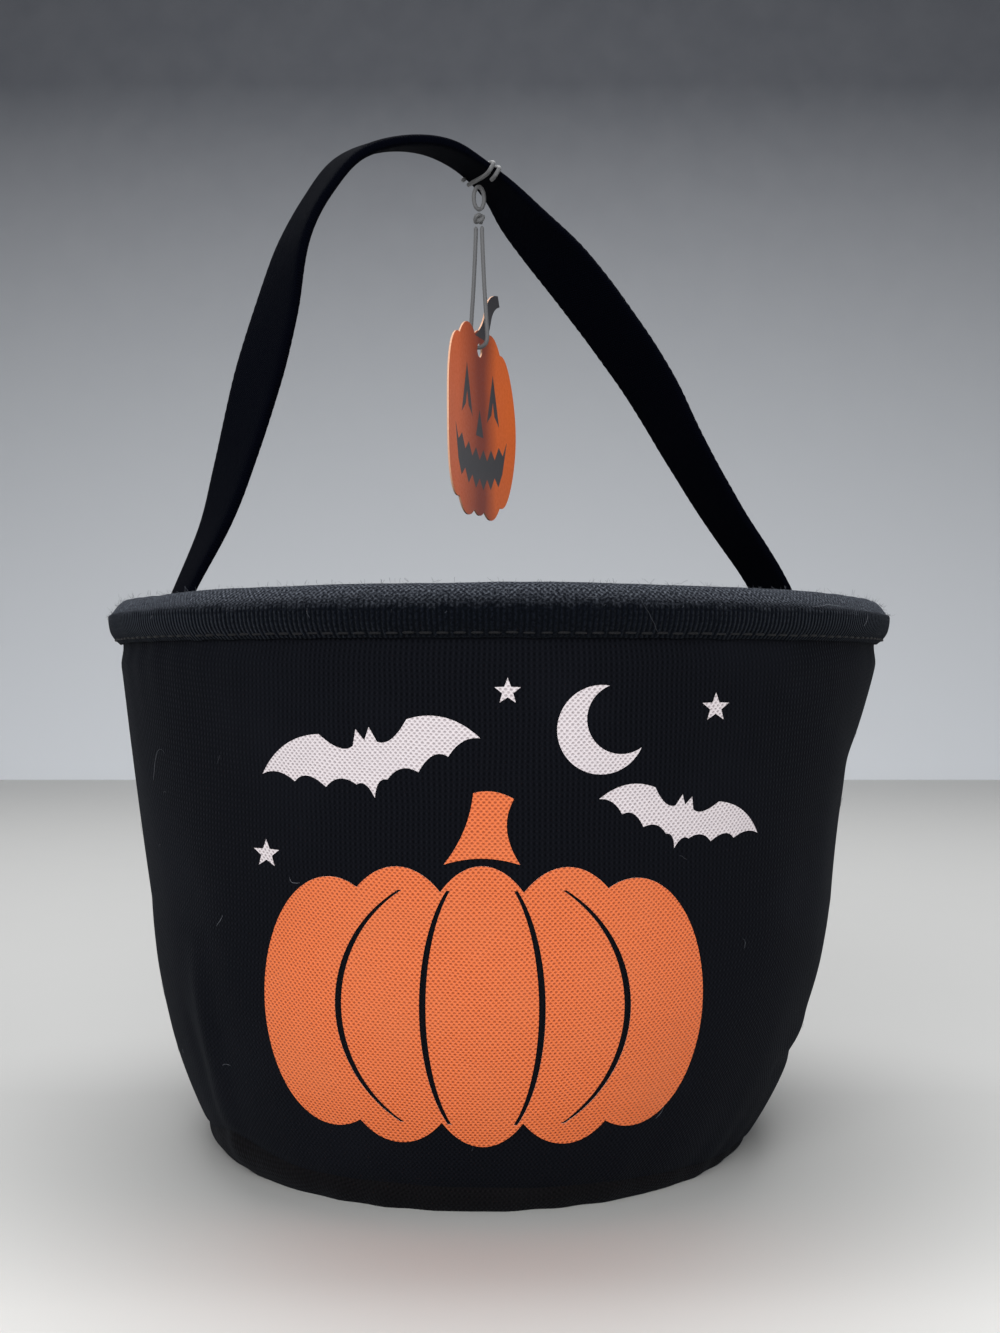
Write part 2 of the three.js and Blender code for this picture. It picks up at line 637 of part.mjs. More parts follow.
function stemShape() {
  const { across, up, height } = PUMPKIN;
  const foot = up + height / 2 + GAP;
  const at = (share) => foot + share * STEM.height;
  const tip = across - STEM.lean;
  const shape = new THREE.Shape();
  shape.moveTo(across - STEM.foot / 2, foot);
  shape.quadraticCurveTo(across, at(0.18), across + STEM.foot / 2, foot);
  shape.quadraticCurveTo(across + STEM.waist / 2, at(0.5), tip + STEM.top, at(0.92));
  shape.quadraticCurveTo(tip + STEM.top / 2, at(1.08), tip, at(1));
  shape.quadraticCurveTo(across + STEM.hollow - STEM.waist / 2, at(0.45), across - STEM.foot / 2, foot);
  return shape;
}

function addPrint() {
  const film = wallLayer(-GAP - FILM, -GAP, BASE_BAND_HEIGHT + GAP, hemBottom - GAP);
  const { across, up, width, height } = PUMPKIN;
  const lobes = pumpkinLobes(PRINT_LOBES, across, up, width, height);
  let pumpkin = joined(lobes.map((shape) => pushedForward(shape, 8)));
  for (const share of [-0.66, -0.27, 0.27, 0.66]) {
    pumpkin = cut(pumpkin, pushedForward(ribSlot(share * width / 2), 4));
  }
  add('print_pumpkin', common(film, pumpkin), orange);
  add('print_stem', common(film, pushedForward(stemShape(), 4)), orange);
  add('print_bat_large', common(film, pushedForward(batShape(BAT_LARGE), 4)), offWhite);
  add('print_bat_small', common(film, pushedForward(batShape(BAT_SMALL), 4)), offWhite);
  add('print_moon', common(film, pushedForward(moonShape(), 7)), offWhite);
  const stars = { left: STAR_LEFT, middle: STAR_MIDDLE, right: STAR_RIGHT };
  for (const [side, star] of Object.entries(stars)) {
    add(`print_star_${side}`, common(film, pushedForward(starShape(star))), offWhite);
  }
}

// The tag: a die-cut card, curled a little about the vertical, its face hollow

function tagStem() {
  const put = (across, up) => [across * TAG_STEM_REACH, up * TAG_STEM_HEIGHT];
  const shape = new THREE.Shape();
  shape.moveTo(...put(-0.25, -0.2));
  shape.quadraticCurveTo(...put(0.19, 0.06), ...put(0.34, 0.58));
  shape.quadraticCurveTo(...put(0.5, 0.94), ...put(0.91, 1));
  shape.lineTo(...put(1, 0.77));
  shape.quadraticCurveTo(...put(0.66, 0.65), ...put(0.56, 0.26));
  shape.lineTo(...put(0.38, -0.2));
  shape.closePath();
  return shape;
}

function addTag() {
  const sheet = [
    [TAG_CURL_RADIUS, -TAG_HEIGHT], [TAG_CURL_RADIUS + TAG_THICKNESS, -TAG_HEIGHT],
    [TAG_CURL_RADIUS + TAG_THICKNESS, TAG_HEIGHT], [TAG_CURL_RADIUS, TAG_HEIGHT],
  ];
  const points = [...sheet, sheet[0]].map(([radius, height]) => new THREE.Vector2(radius, height));
  const curl = new THREE.LatheGeometry(points, 240).rotateX(Math.PI / 2);
  curl.translate(0, -TAG_CURL_RADIUS - TAG_THICKNESS / 2, 0);
  const middle = TAG_HOLE_BELOW_TOP - TAG_HEIGHT / 2;
  const deep = TAG_WIDTH / 2; // cuts right through the curled sheet
  const through = { depth: deep, bevelEnabled: false, curveSegments: 8 };
  const slab = (shape) => (
    new THREE.ExtrudeGeometry(shape, through).rotateX(Math.PI / 2).translate(0, deep / 2, 0)
  );
  const outline = joined([
    ...pumpkinLobes(TAG_LOBES, 0, middle, TAG_WIDTH, TAG_HEIGHT).map(slab),
    slab(tagStem()).translate(0, 0, TAG_HOLE_BELOW_TOP),
  ]);
  const hole = new THREE.CylinderGeometry(TAG_HOLE_DIAMETER / 2, TAG_HOLE_DIAMETER / 2, deep, 16);
  const card = cut(common(curl, outline), hole);
  card.rotateZ(TAG_TURN).translate(tagHole.x, tagHole.y, tagHole.z);
  add('tag_card', card, orange);
}

addWall();
addBase();
addRim();
addBackSeam();
addTab('left', -1);
addTab('right', 1);
addStrap();
addString();
addLoop();
addPrint();
addTag();

export default bucket;
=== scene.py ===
"""Looks of a black canvas halloween bucket: printed front, hooped rim, strap and pumpkin hang tag."""
import math
import random

import bpy
import numpy as np
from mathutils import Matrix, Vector
from mathutils.geometry import delaunay_2d_cdt


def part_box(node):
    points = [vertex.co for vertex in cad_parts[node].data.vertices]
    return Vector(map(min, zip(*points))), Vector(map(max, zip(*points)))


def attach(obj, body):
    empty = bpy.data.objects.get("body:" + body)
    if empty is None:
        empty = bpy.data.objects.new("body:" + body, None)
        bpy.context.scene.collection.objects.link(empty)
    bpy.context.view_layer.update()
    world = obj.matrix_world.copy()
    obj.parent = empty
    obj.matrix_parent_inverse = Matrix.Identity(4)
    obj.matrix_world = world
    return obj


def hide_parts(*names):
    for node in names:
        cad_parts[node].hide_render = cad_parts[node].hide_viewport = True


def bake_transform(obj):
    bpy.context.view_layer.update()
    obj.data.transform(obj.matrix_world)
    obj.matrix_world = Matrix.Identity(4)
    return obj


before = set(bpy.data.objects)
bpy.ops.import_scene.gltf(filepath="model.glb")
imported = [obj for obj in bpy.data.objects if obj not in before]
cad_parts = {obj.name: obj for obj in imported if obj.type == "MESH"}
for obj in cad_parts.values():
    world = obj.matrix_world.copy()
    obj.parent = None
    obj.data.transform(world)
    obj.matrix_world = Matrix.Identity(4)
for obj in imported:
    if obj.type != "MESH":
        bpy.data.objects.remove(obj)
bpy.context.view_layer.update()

MM = 0.001  # sizes in this script are millimetres, and Blender's are metres
TURN = 2 * math.pi

# Sizes that the looks share with the solids
RIM_RADIUS = 115.0
RIM_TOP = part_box("rim_hem")[1].z / MM
HEM_HEIGHT = 13.2
HEM_WIDTH = 10.2
HEM_CLOTH = 1.2
HEM_OVERHANG = 4.4
HEM_BOTTOM = RIM_TOP - HEM_HEIGHT
HEM_MIDDLE = RIM_RADIUS - HEM_WIDTH / 2
WALL_TOP_RADIUS = RIM_RADIUS - HEM_OVERHANG
WALL_FOOT_RADIUS = 92.2
BASE_TUCK_HEIGHT = 55.0
CANVAS = 1.2
LAYER_GAP = 0.6
FELT = 1.0
LINING = 0.6
FELT_INSET = CANVAS + LAYER_GAP
LINING_INSET = FELT_INSET + FELT + LAYER_GAP
WALL_LAYERS = LINING_INSET + LINING
FOOT_SLIDE_HEIGHT = 70.0
DENT_DEPTH = 6.0
DENT_HEIGHT = 92.0
DENT_RISE = 50.0
DENT_DROP = 75.0
DENT_HALF_ANGLE = math.radians(65)
HOOP_ROOM = 7.5  # from the top of the rim down to the top of the wall's cloth
STRAP_WIDTH = 20.0
STRAP_THICKNESS = 2.5
HANDLE_TURN = math.radians(25)
HANDLE_RISE = 135.2
HINGE_HEIGHT = RIM_TOP + 2.2
STRAP_FLOOR = HEM_MIDDLE - HEM_WIDTH / 2 - 0.3 - STRAP_THICKNESS / 2
TAB_LENGTH = 30.0
TAB_TOP = HINGE_HEIGHT - STRAP_WIDTH / 2 - 0.3
STRING_DIAMETER = 1.3
WRAPS = 2
WRAP_PITCH = 2.2
WRAP_PLACE = 0.52
TAG_WIDTH = 60.0
TAG_HEIGHT = 57.0
TAG_THICKNESS = 0.5
TAG_CURL_RADIUS = 400.0
TAG_TURN = math.radians(71)
TAG_HOLE_DIAMETER = 4.2
TAG_HOLE_BELOW_TOP = 6.5
STRING_DROP = 39.8

# Sizes of the looks alone: their foot stands where the photograph shows it
BASE_TUCK = 15.2
FOOT_SLIDE_LEFT = 5.5
FOOT_SLIDE_FORWARD = 6.0
FOOT_SLIDE_FORWARD_POWER = 1.6
BASE_FLAT_RADIUS = 76.7
BOARD_RADIUS = 74.5
BOARD_BOTTOM = 1.5
BOARD_THICKNESS = 2.0
BASE_LINING_RADIUS = 75.4
BASE_LINING_BOTTOM = 4.0
HEM_STITCH_RADIUS = 112.95
HEM_STITCH_HEIGHT = 143.6
STRAP_PLUMPNESS = 0.34  # how much thicker the strap is where it stands free

# Camera: level, in front of the print, at the height of the upper wall
CAMERA_BACK = 460.0
CAMERA_HEIGHT = 134.5
FOCAL_PIXELS = 1514
FRAME_WIDTH, FRAME_HEIGHT = 1000, 1333
HORIZON = 672  # the photograph's row at the camera's height
AXIS = 499  # the photograph's column of the bucket's middle


def add_object(name, data):
    thing = bpy.data.objects.new(name, data)
    bpy.context.scene.collection.objects.link(thing)
    return thing


def make_camera():
    data = bpy.data.cameras.new("camera")
    data.sensor_width = 36.0
    data.lens = FOCAL_PIXELS / FRAME_HEIGHT * data.sensor_width
    data.shift_x = (FRAME_WIDTH / 2 - AXIS) / FRAME_HEIGHT
    data.shift_y = (HORIZON - FRAME_HEIGHT / 2) / FRAME_HEIGHT
    camera = add_object("camera", data)
    camera.location = (0, -CAMERA_BACK * MM, CAMERA_HEIGHT * MM)
    camera.rotation_euler = (math.radians(90), 0, 0)
    bpy.context.scene.camera = camera


# Curves

class Route:
    """A centripetal Catmull-Rom curve through points, measured along its length."""

    def __init__(self, points, closed=False, fineness=40):
        points = np.array(points, float)
        self.closed = closed
        if closed:
            self.stops = np.concatenate([points[-1:], points, points[:2]])
        else:
            before, after = 2 * points[0] - points[1], 2 * points[-1] - points[-2]
            self.stops = np.concatenate([[before], points, [after]])
        count = len(self.stops) - 3
        self.place = np.linspace(0, count, count * fineness + 1)
        self.line = np.array([self._at(t) for t in self.place])
        steps = np.linalg.norm(np.diff(self.line, axis=0), axis=1)
        self.run = np.concatenate([[0], np.cumsum(steps)])
        self.length = self.run[-1]

    def _at(self, t):
        i = min(int(t), len(self.stops) - 4)
        w = t - i
        a, b, c, d = self.stops[i:i + 4]
        first, middle, end = (max(np.linalg.norm(q - p) ** 0.5, 1e-4) for p, q in ((a, b), (b, c), (c, d)))
        leave = ((b - a) / first - (c - a) / (first + middle) + (c - b) / middle) * middle
        arrive = ((c - b) / middle - (d - b) / (middle + end) + (d - c) / end) * middle
        return (
            b + leave * w
            + (-3 * b + 3 * c - 2 * leave - arrive) * w ** 2
            + (2 * b - 2 * c + leave + arrive) * w ** 3
        )

    def at(self, distance):
        return np.stack([np.interp(distance, self.run, column) for column in self.line.T], -1)

    def stop_at(self, distance):
        """The place between the stops, such as 2.5 halfway from the third to the fourth."""
        return np.interp(distance, self.run, self.place)

    def along(self, distance, reach=0.2):
        ahead = self.at(np.clip(distance + reach, 0, self.length))
        behind = self.at(np.clip(distance - reach, 0, self.length))
        return unit(ahead - behind)

    def spaced(self, count):
        return self.at(np.linspace(0, self.length, count))


def unit(vectors):
    return vectors / np.linalg.norm(vectors, axis=-1, keepdims=True)


def smoothstep(low, high, value):
    share = np.clip((value - low) / (high - low), 0, 1)
    return share * share * (3 - 2 * share)


class Waves:
    """Soft irregular waves round the bucket, between -1 and 1, that close on themselves."""

    def __init__(self, seed, count, around, up):
        chance = random.Random(seed)
        self.terms = [
            (chance.randint(*around), chance.choice((-1, 1)) * chance.uniform(*up), chance.uniform(0, TURN))
            for _ in range(count)
        ]

    def __call__(self, angle, height):
        total = 0
        for number, length, start in self.terms:
            total = total + np.sin(number * angle + TURN * height / length + start)
        return total / len(self.terms) ** 0.5 / 1.4


# The settled wall: it leans, is dented and has small folds of its own

broad_swell = Waves(3, 6, (2, 7), (150, 400))
small_swell = Waves(8, 9, (9, 26), (70, 200))
hem_pucker = Waves(21, 8, (30, 78), (300, 900))
foot_gather = Waves(34, 8, (16, 44), (60, 200))


def wall_radius(height):
    taper = (WALL_TOP_RADIUS - WALL_FOOT_RADIUS) * height / HEM_BOTTOM
    tuck = BASE_TUCK * np.maximum(0, 1 - height / BASE_TUCK_HEIGHT) ** 2
    return WALL_FOOT_RADIUS + taper - tuck


def foot_slide(height):
    """How far the lower wall stands off the middle: to the right and back, so both are below 0."""
    share = np.maximum(0, 1 - height / FOOT_SLIDE_HEIGHT)
    return -FOOT_SLIDE_LEFT * share, -FOOT_SLIDE_FORWARD * share ** FOOT_SLIDE_FORWARD_POWER


def dent(angle, height):
    reach = np.where(height > DENT_HEIGHT, DENT_RISE, DENT_DROP)
    along = np.maximum(0, 1 - ((height - DENT_HEIGHT) / reach) ** 2) ** 2
    across = np.minimum(1, np.abs(away(angle, 0)) / DENT_HALF_ANGLE)
    return DENT_DEPTH * along * np.cos(across * math.pi / 2) ** 2


def away(angle, middle):
    """How far an angle is from another, from -pi to pi."""
    return (angle - middle + math.pi) % TURN - math.pi


def fold(angle, height, stops, width, depth):
    """A soft fold through stops of (angle in degrees, height); width is across it, in millimetres."""
    stops = np.array(stops, float)
    share = np.linspace(0, 1, 60)
    place = share * (len(stops) - 1)
    line_angle = np.radians(np.interp(place, range(len(stops)), stops[:, 0]))
    line_height = np.interp(place, range(len(stops)), stops[:, 1])
    fade = np.sin(math.pi * np.clip(share, 0.04, 0.96)) ** 0.6  # towards its two ends
    best = np.zeros(np.broadcast(angle, height).shape)
    for a, h, f in zip(line_angle, line_height, fade):
        distance = (away(angle, a) * wall_radius(h)) ** 2 + (height - h) ** 2
        best = np.maximum(best, f * np.exp(-distance / width ** 2))
    return depth * best


SEAM_AT_LEFT = math.radians(-141)  # where the base seam lifts, at the front left


def seam_height(angle):
    """Height of the wall's lower edge: it lifts at the front left, and hangs lower on the right."""
    lift = 5.5 * np.exp(-(away(angle, SEAM_AT_LEFT) / 0.2) ** 2)
    sag = 3.6 * np.exp(-(away(angle, math.radians(-22)) / 0.62) ** 2)
    return 7.6 + lift - sag + 0.35 * foot_gather(angle, 0)


# Folds: their stops, width and depth
FOLDS = [
    ([(-141, 12), (-139, 30), (-140, 46), (-141, 62)], 4.5, 1.5),
    ([(-146, 16), (-145, 30), (-147, 48)], 4, -0.8),
    ([(-30, 27), (-14, 29), (2, 31), (16, 35)], 2.6, -1.1),
    ([(-26, 34), (-10, 36), (8, 39)], 4, 0.7),
    ([(-34, 122), (-20, 112), (-4, 104), (10, 100)], 7, -0.8),
]


def relief(angle, height):
    """Small folds of the cloth, out from the plain shape."""
    swell = 0.55 * broad_swell(angle, height) + 0.2 * small_swell(angle, height)
    swell = swell * smoothstep(0, 30, HEM_BOTTOM - height)
    pucker = 0.22 * hem_pucker(angle, height) * np.exp(-np.maximum(0, HEM_BOTTOM - height) / 9)
    gather = 0.42 * foot_gather(angle, height) * np.exp(-np.maximum(0, height - 6) / 11)
    folds = sum(fold(angle, height, *each) for each in FOLDS)
    full = 1.4 * smoothstep(36, 66, height) * (1 - smoothstep(136, 142.4, height))
    slack = 1.3 * np.exp(-(away(angle, -0.2) / 0.5) ** 2 - ((height - 32) / 17) ** 2)
    return swell + pucker + gather + folds + full - slack


def back_lap(angle, height):
    """The wall's cloth laps over itself at the back seam."""
    across = away(angle, math.pi / 2) * wall_radius(height)
    return 1.0 * smoothstep(-6.6, -6.0, across) * (1 - smoothstep(-1, 9, across))


def cloth_radius(angle, height):
    return wall_radius(height) - dent(angle, height) + relief(angle, height)


def turned(angle, radius, height=0.0, middle=(0, 0)):
    """A point at an angle and a radius round an upright line."""
    x = middle[0] + radius * np.cos(angle)
    y = middle[1] + radius * np.sin(angle)
    return np.stack([x, y, height + 0 * angle], -1)


def on_wall(angle, height, out):
    """A point of the settled wall, or of something that lies out from its cloth (or in, below 0)."""
    return turned(angle, cloth_radius(angle, height) + out, height, foot_slide(height))


WALL_LEAN = math.atan((WALL_TOP_RADIUS - WALL_FOOT_RADIUS) / HEM_BOTTOM)
CONE_FOOT = WALL_FOOT_RADIUS / math.sin(WALL_LEAN)


def in_cloth(angle, height):
    """Where a point of the wall lies in the flat canvas it was cut from, which is a piece of a ring."""
    swing = away(angle, -math.pi / 2) * math.sin(WALL_LEAN)
    reach = CONE_FOOT + height / math.cos(WALL_LEAN)
    return np.stack([reach * np.sin(swing), reach * np.cos(swing) - CONE_FOOT], -1)


# Meshes

def make_piece(name, points, faces, materials, uv=None, slots=None, sharp=None):
    """An object from points in millimetres; uv holds one place in the cloth for each corner of each face."""
    mesh = bpy.data.meshes.new(name)
    mesh.from_pydata((np.asarray(points) * MM).tolist(), [], [list(map(int, face)) for face in faces])
    for material in materials:
        mesh.materials.append(material)
    if slots is not None:
        mesh.polygons.foreach_set("material_index", np.asarray(slots, np.int32))
    if uv is not None:
        layer = mesh.uv_layers.new(name="cloth")
        layer.data.foreach_set("uv", np.asarray(uv, np.float32).ravel())
    mesh.shade_smooth()
    if sharp is not None:
        mesh.set_sharp_from_angle(angle=math.radians(sharp))
    mesh.validate()
    return add_object(name, mesh)


def grid_faces(rows, columns, close_rows=False):
    """Quads of a grid whose columns close, and each corner's row and column, which run on past the end."""
    row_count = rows if close_rows else rows - 1
    r, c = np.meshgrid(np.arange(row_count), np.arange(columns), indexing="ij")
    r, c = r.ravel(), c.ravel()
    corner_rows = np.stack([r, r, r + 1, r + 1], -1)
    corner_columns = np.stack([c, c + 1, c + 1, c], -1)
    faces = (corner_rows % rows) * columns + corner_columns % columns
    return faces, corner_rows, corner_columns


def end_faces(rows, columns, first=0):
    """The two faces that close a tube's ends."""
    last = first + (rows - 1) * columns
    return [[first + c for c in range(columns)][::-1], [last + c for c in range(columns)]]


def grid_piece(name, points, cloth, material, close_rows=False, ends=False, sharp=None):
    """An object from a grid of points; cloth gives the place in the cloth of each row and column."""
    rows, columns = points.shape[:2]
    faces, corner_rows, corner_columns = grid_faces(rows, columns, close_rows)
    uv = cloth[np.minimum(corner_rows, cloth.shape[0] - 1), np.minimum(corner_columns, cloth.shape[1] - 1)]
    faces, uv = faces.tolist(), uv.reshape(-1, 2)
    if ends:
        faces += end_faces(rows, columns)
        uv = np.concatenate([uv, cloth[[0] * columns, 0], cloth[[rows - 1] * columns, 0]])
    return make_piece(name, points.reshape(-1, 3), faces, [material], uv, sharp=sharp)


def carried_frames(line):
    """Two directions square to a line at each of its points, carried along it without twisting."""
    tangents = unit(np.gradient(line, axis=0))
    sides = [unit(np.cross(tangents[0], [0.3, 0.2, 0.9]))]
    for tangent in tangents[1:]:
        sides.append(unit(sides[-1] - np.dot(sides[-1], tangent) * tangent))
    return np.array(sides), np.cross(tangents, sides)


def tube(line, frames, radius, around):
    """Points round a line, at a radius for each row and column or for each row."""
    side, other = frames
    return line[:, None] + radius[..., None] * (
        np.cos(around)[:, None] * side[:, None] + np.sin(around)[:, None] * other[:, None]
    )


def bundle(tubes):
    """Points and faces of separate closed tubes, joined to one mesh."""
    faces, first = [], 0
    for points in tubes:
        rows, columns = points.shape[:2]
        faces += (grid_faces(rows, columns)[0] + first).tolist() + end_faces(rows, columns, first)
        first += rows * columns
    return np.concatenate([points.reshape(-1, 3) for points in tubes]), faces


STRING_STEP = 0.28
STRING_LAY = 3.4
STRING_PLIES = 3


def string_piece(name, route, body, node, sides=24):
    """A twisted string: round plies that turn about the route once in each lay."""
    count = max(12, int(route.length / STRING_STEP))
    line = route.spaced(count + 1)
    if route.closed:
        line = line[:-1]
    frames = carried_frames(line)
    run = np.linspace(0, route.length, len(line))[:, None]
    around = np.linspace(0, TURN, sides, endpoint=False)
    ply = np.abs(np.sin(STRING_PLIES / 2 * (around + TURN * run / STRING_LAY)))
    radius = STRING_DIAMETER / 2 * (0.8 + 0.2 * ply ** 0.7)
    if not route.closed:
        from_end = np.minimum(run, route.length - run)
        radius = radius * np.sqrt(np.clip(from_end / (STRING_DIAMETER / 2), 0.06, 1))
    points = tube(line, frames, radius, around)
    cloth = np.stack(np.broadcast_arrays(around * STRING_DIAMETER / 2, run), -1)
    if route.closed:
        side, other = frames
        twist = math.atan2(np.dot(side[0], other[-1]), np.dot(side[0], side[-1]))
        shift = round(twist / TURN * sides)
        points = np.concatenate([points, np.roll(points[:1], -shift, axis=1)])
    piece = grid_piece(name, points, cloth, STRING, ends=not route.closed)
    return finish_piece(piece, body, "tag_string", node)


def inside(points, *polygons):
    """Which points lie inside at least one of the polygons."""
    x, y = points[:, 0, None], points[:, 1, None]
    found = np.zeros(len(points), bool)
    for polygon in polygons:
        x1, y1 = polygon[:, 0], polygon[:, 1]
        x2, y2 = np.roll(x1, -1), np.roll(y1, -1)
        rise = np.where(y2 == y1, 1e-12, y2 - y1)
        crosses = ((y1 > y) != (y2 > y)) & (x < (x2 - x1) * (y - y1) / rise + x1)
        found |= crosses.sum(1) % 2 == 1
    return found


SHEET_SHARP = 35


def cut_sheet(name, outlines, keep, spacing, place, cloth, materials, ink=None):
    """A thin sheet cut to outlines: keep says which points stay, place puts each on its front or back
    face, and ink gives each point's material. The cut edge has the last material."""
    corners = np.concatenate(outlines)
    low, high = corners.min(0), corners.max(0)
    across = np.arange(low[0] + spacing / 2, high[0], spacing)
    up = np.arange(low[1] + spacing / 2, high[1], spacing * 0.87)
    grid = np.array([(x + (k % 2) * spacing / 2, y) for k, y in enumerate(up) for x in across])
    near = np.min(np.linalg.norm(grid[:, None] - corners[None], axis=2), axis=1)
    grid = grid[near > spacing * 0.45]
    edges, start = [], 0
    for outline in outlines:
        edges += [(start + i, start + (i + 1) % len(outline)) for i in range(len(outline))]
        start += len(outline)
    flat = [Vector(p) for p in np.concatenate([corners, grid])]
    points, _, triangles, *_ = delaunay_2d_cdt(flat, edges, [], 0, 1e-5)
    points, triangles = np.array([p[:] for p in points]), np.array(triangles)
    triangles = triangles[keep(points[triangles].mean(1))]
    middles = points[triangles].mean(1)
    slots = ink(middles) if ink else np.zeros(len(triangles), int)
    used, triangles = np.unique(triangles, return_inverse=True)
    points, triangles = points[used], triangles.reshape(-1, 3)
    count = len(points)
    front, back = place(points, True), place(points, False)
    a, b, c = (front[triangles[:, k]] for k in range(3))
    normal = np.cross(b - a, c - a).sum(0)
    if np.dot(normal, (front - back).sum(0)) < 0:
        triangles = triangles[:, ::-1]
    sides = np.concatenate([triangles[:, [0, 1]], triangles[:, [1, 2]], triangles[:, [2, 0]]])
    both = {(i, j) for i, j in sides.tolist()}
    rim = [(i, j) for i, j in sides.tolist() if (j, i) not in both]
    faces = [*triangles.tolist(), *(triangles[:, ::-1] + count).tolist()]
    faces += [(j, i, i + count, j + count) for i, j in rim]
    cloth_points = np.concatenate([cloth(points)] * 2)
    uv = np.concatenate([cloth_points[list(face)] for face in faces])
    last = len(materials) - 1
    all_slots = np.concatenate([slots, slots, np.full(len(rim), last)])
    return make_piece(name, np.concatenate([front, back]), faces, materials, uv, all_slots, SHEET_SHARP)


# Materials

class Paint:
    """A material and short ways to add nodes to it."""

    def __init__(self, name, roughness, **sockets):
        self.material = bpy.data.materials.new(name)
        self.material.use_nodes = True
        self.tree = self.material.node_tree
        self.shader = self.tree.nodes["Principled BSDF"]
        self.set("Roughness", roughness)
        for socket, value in sockets.items():
            self.set(socket.replace("_", " "), value)

    def set(self, socket, value):
        self.join(self.shader.inputs[socket], value)

    def colour(self, share, first, second):
        self.set("Base Color", self.mix(share, first, second))

    def join(self, socket, value):
        if isinstance(value, bpy.types.NodeSocket):
            self.tree.links.new(value, socket)
        elif isinstance(value, tuple) and len(value) == 3 and socket.type == "RGBA":
            socket.default_value = (*value, 1)
        else:
            socket.default_value = value

    def node(self, kind, **settings):
        node = self.tree.nodes.new("ShaderNode" + kind)
        for name, value in settings.items():
            setattr(node, name, value)
        return node

    def math(self, operation, first, second=0.0, third=0.0):
        node = self.node("Math", operation=operation)
        for socket, value in zip(node.inputs, (first, second, third)):
            self.join(socket, value)
        return node.outputs[0]

    def times(self, first, second):
        return self.math("MULTIPLY", first, second)

    def plus(self, first, second):
        return self.math("ADD", first, second)

    def wave(self, value, length):
        """A sine of a length in the value's unit, from -1 to 1."""
        return self.math("SINE", self.times(value, TURN / length))

    def noise(self, scale, detail=2.0, where=None, roughness=0.5):
        node = self.node("TexNoise")
        node.inputs["Scale"].default_value = scale
        node.inputs["Detail"].default_value = detail
        node.inputs["Roughness"].default_value = roughness
        if where is None:
            where = self.node("TexCoord").outputs["Object"]
        self.join(node.inputs["Vector"], where)
        return node.outputs["Fac"]

    def stretch(self, value, low, high, to_low=0.0, to_high=1.0):
        node = self.node("MapRange", clamp=True)
        for socket, number in zip(node.inputs[1:5], (low, high, to_low, to_high)):
            socket.default_value = number
        self.join(node.inputs[0], value)
        return node.outputs[0]

    def mix(self, share, first, second):
        node = self.node("Mix", data_type="RGBA")
        self.join(node.inputs[0], share)
        self.join(node.inputs[6], first)
        self.join(node.inputs[7], second)
        return node.outputs[2]

    def cloth(self):
        """The place in the cloth, in millimetres: along its two thread directions."""
        where = self.node("UVMap", uv_map="cloth").outputs[0]
        parts = self.node("SeparateXYZ")
        self.join(parts.inputs[0], where)
        return where, parts.outputs[0], parts.outputs[1]

    def bump(self, height, distance, strength=1.0, under=None):
        node = self.node("Bump")
        node.inputs["Strength"].default_value = strength
        node.inputs["Distance"].default_value = distance * MM
        self.join(node.inputs["Height"], height)
        if under is not None:
            self.join(node.inputs["Normal"], under)
        return node.outputs[0]

    def weave(self, thread, row, rib, waver=0.35, course=0.0):
        """Height of a plain weave, 0 to 1: rib is the share by which alternate threads stand out as ribs,
        and course makes the dips between the threads wider than tall."""
        where, x, y = self.cloth()
        x = self.plus(x, self.times(self.noise(0.07, 1, where), waver * 3))
        y = self.plus(y, self.times(self.noise(0.11, 1, where), waver * 3))
        columns = self.wave(x, 2 * thread)
        rows = self.wave(y, 2 * row)
        checks = self.times(columns, rows)
        height = self.plus(checks, self.times(self.math("SUBTRACT", columns, checks), rib))
        if course:
            height = self.math("SUBTRACT", height, self.times(self.times(rows, rows), course))
        return self.math("MULTIPLY_ADD", height, 0.5, third=0.5)


THREAD_PITCH = 0.64  # of the canvas, across the wall
ROW_PITCH = 0.7  # and up it
NAP_TINT = (0.72, 0.82, 1.0)


def canvas_paint(name, deep, raised, ribs, bump, sheen):
    """Black cotton canvas: a plain weave whose ribs stand out more towards the rim, its dips painted darker
    as shade, dusty in places, with a nap. ribs is their share at the foot and at the rim."""
    paint = Paint(name, roughness=0.9, Sheen_Weight=sheen, Sheen_Roughness=0.4, Sheen_Tint=NAP_TINT,
                  Specular_IOR_Level=0.05)
    where, _, up = paint.cloth()
    weave = paint.weave(THREAD_PITCH, ROW_PITCH, paint.stretch(up, 20, 110, *ribs))
    fuzz = paint.noise(2.2, 3, where, 0.7)
    patches = paint.noise(0.022, 3, where)
    lit = paint.times(weave, paint.stretch(fuzz, 0.25, 0.75, 0.6, 1.2))
    # painted shade: the dips of the weave take the deep colour and the raised threads the lighter one; fuzz
    # adds random tone
    colour = paint.mix(lit, deep, raised)
    dusty = tuple(1.5 * c + 0.001 for c in raised)
    paint.colour(paint.stretch(patches, 0.5, 0.8, 0, 0.3), colour, dusty)
    paint.set("Roughness", paint.stretch(weave, 0, 1, 0.96, 0.82))
    paint.set("Normal", paint.bump(fuzz, 0.16, 0.7, paint.bump(weave, bump)))
    return paint.material


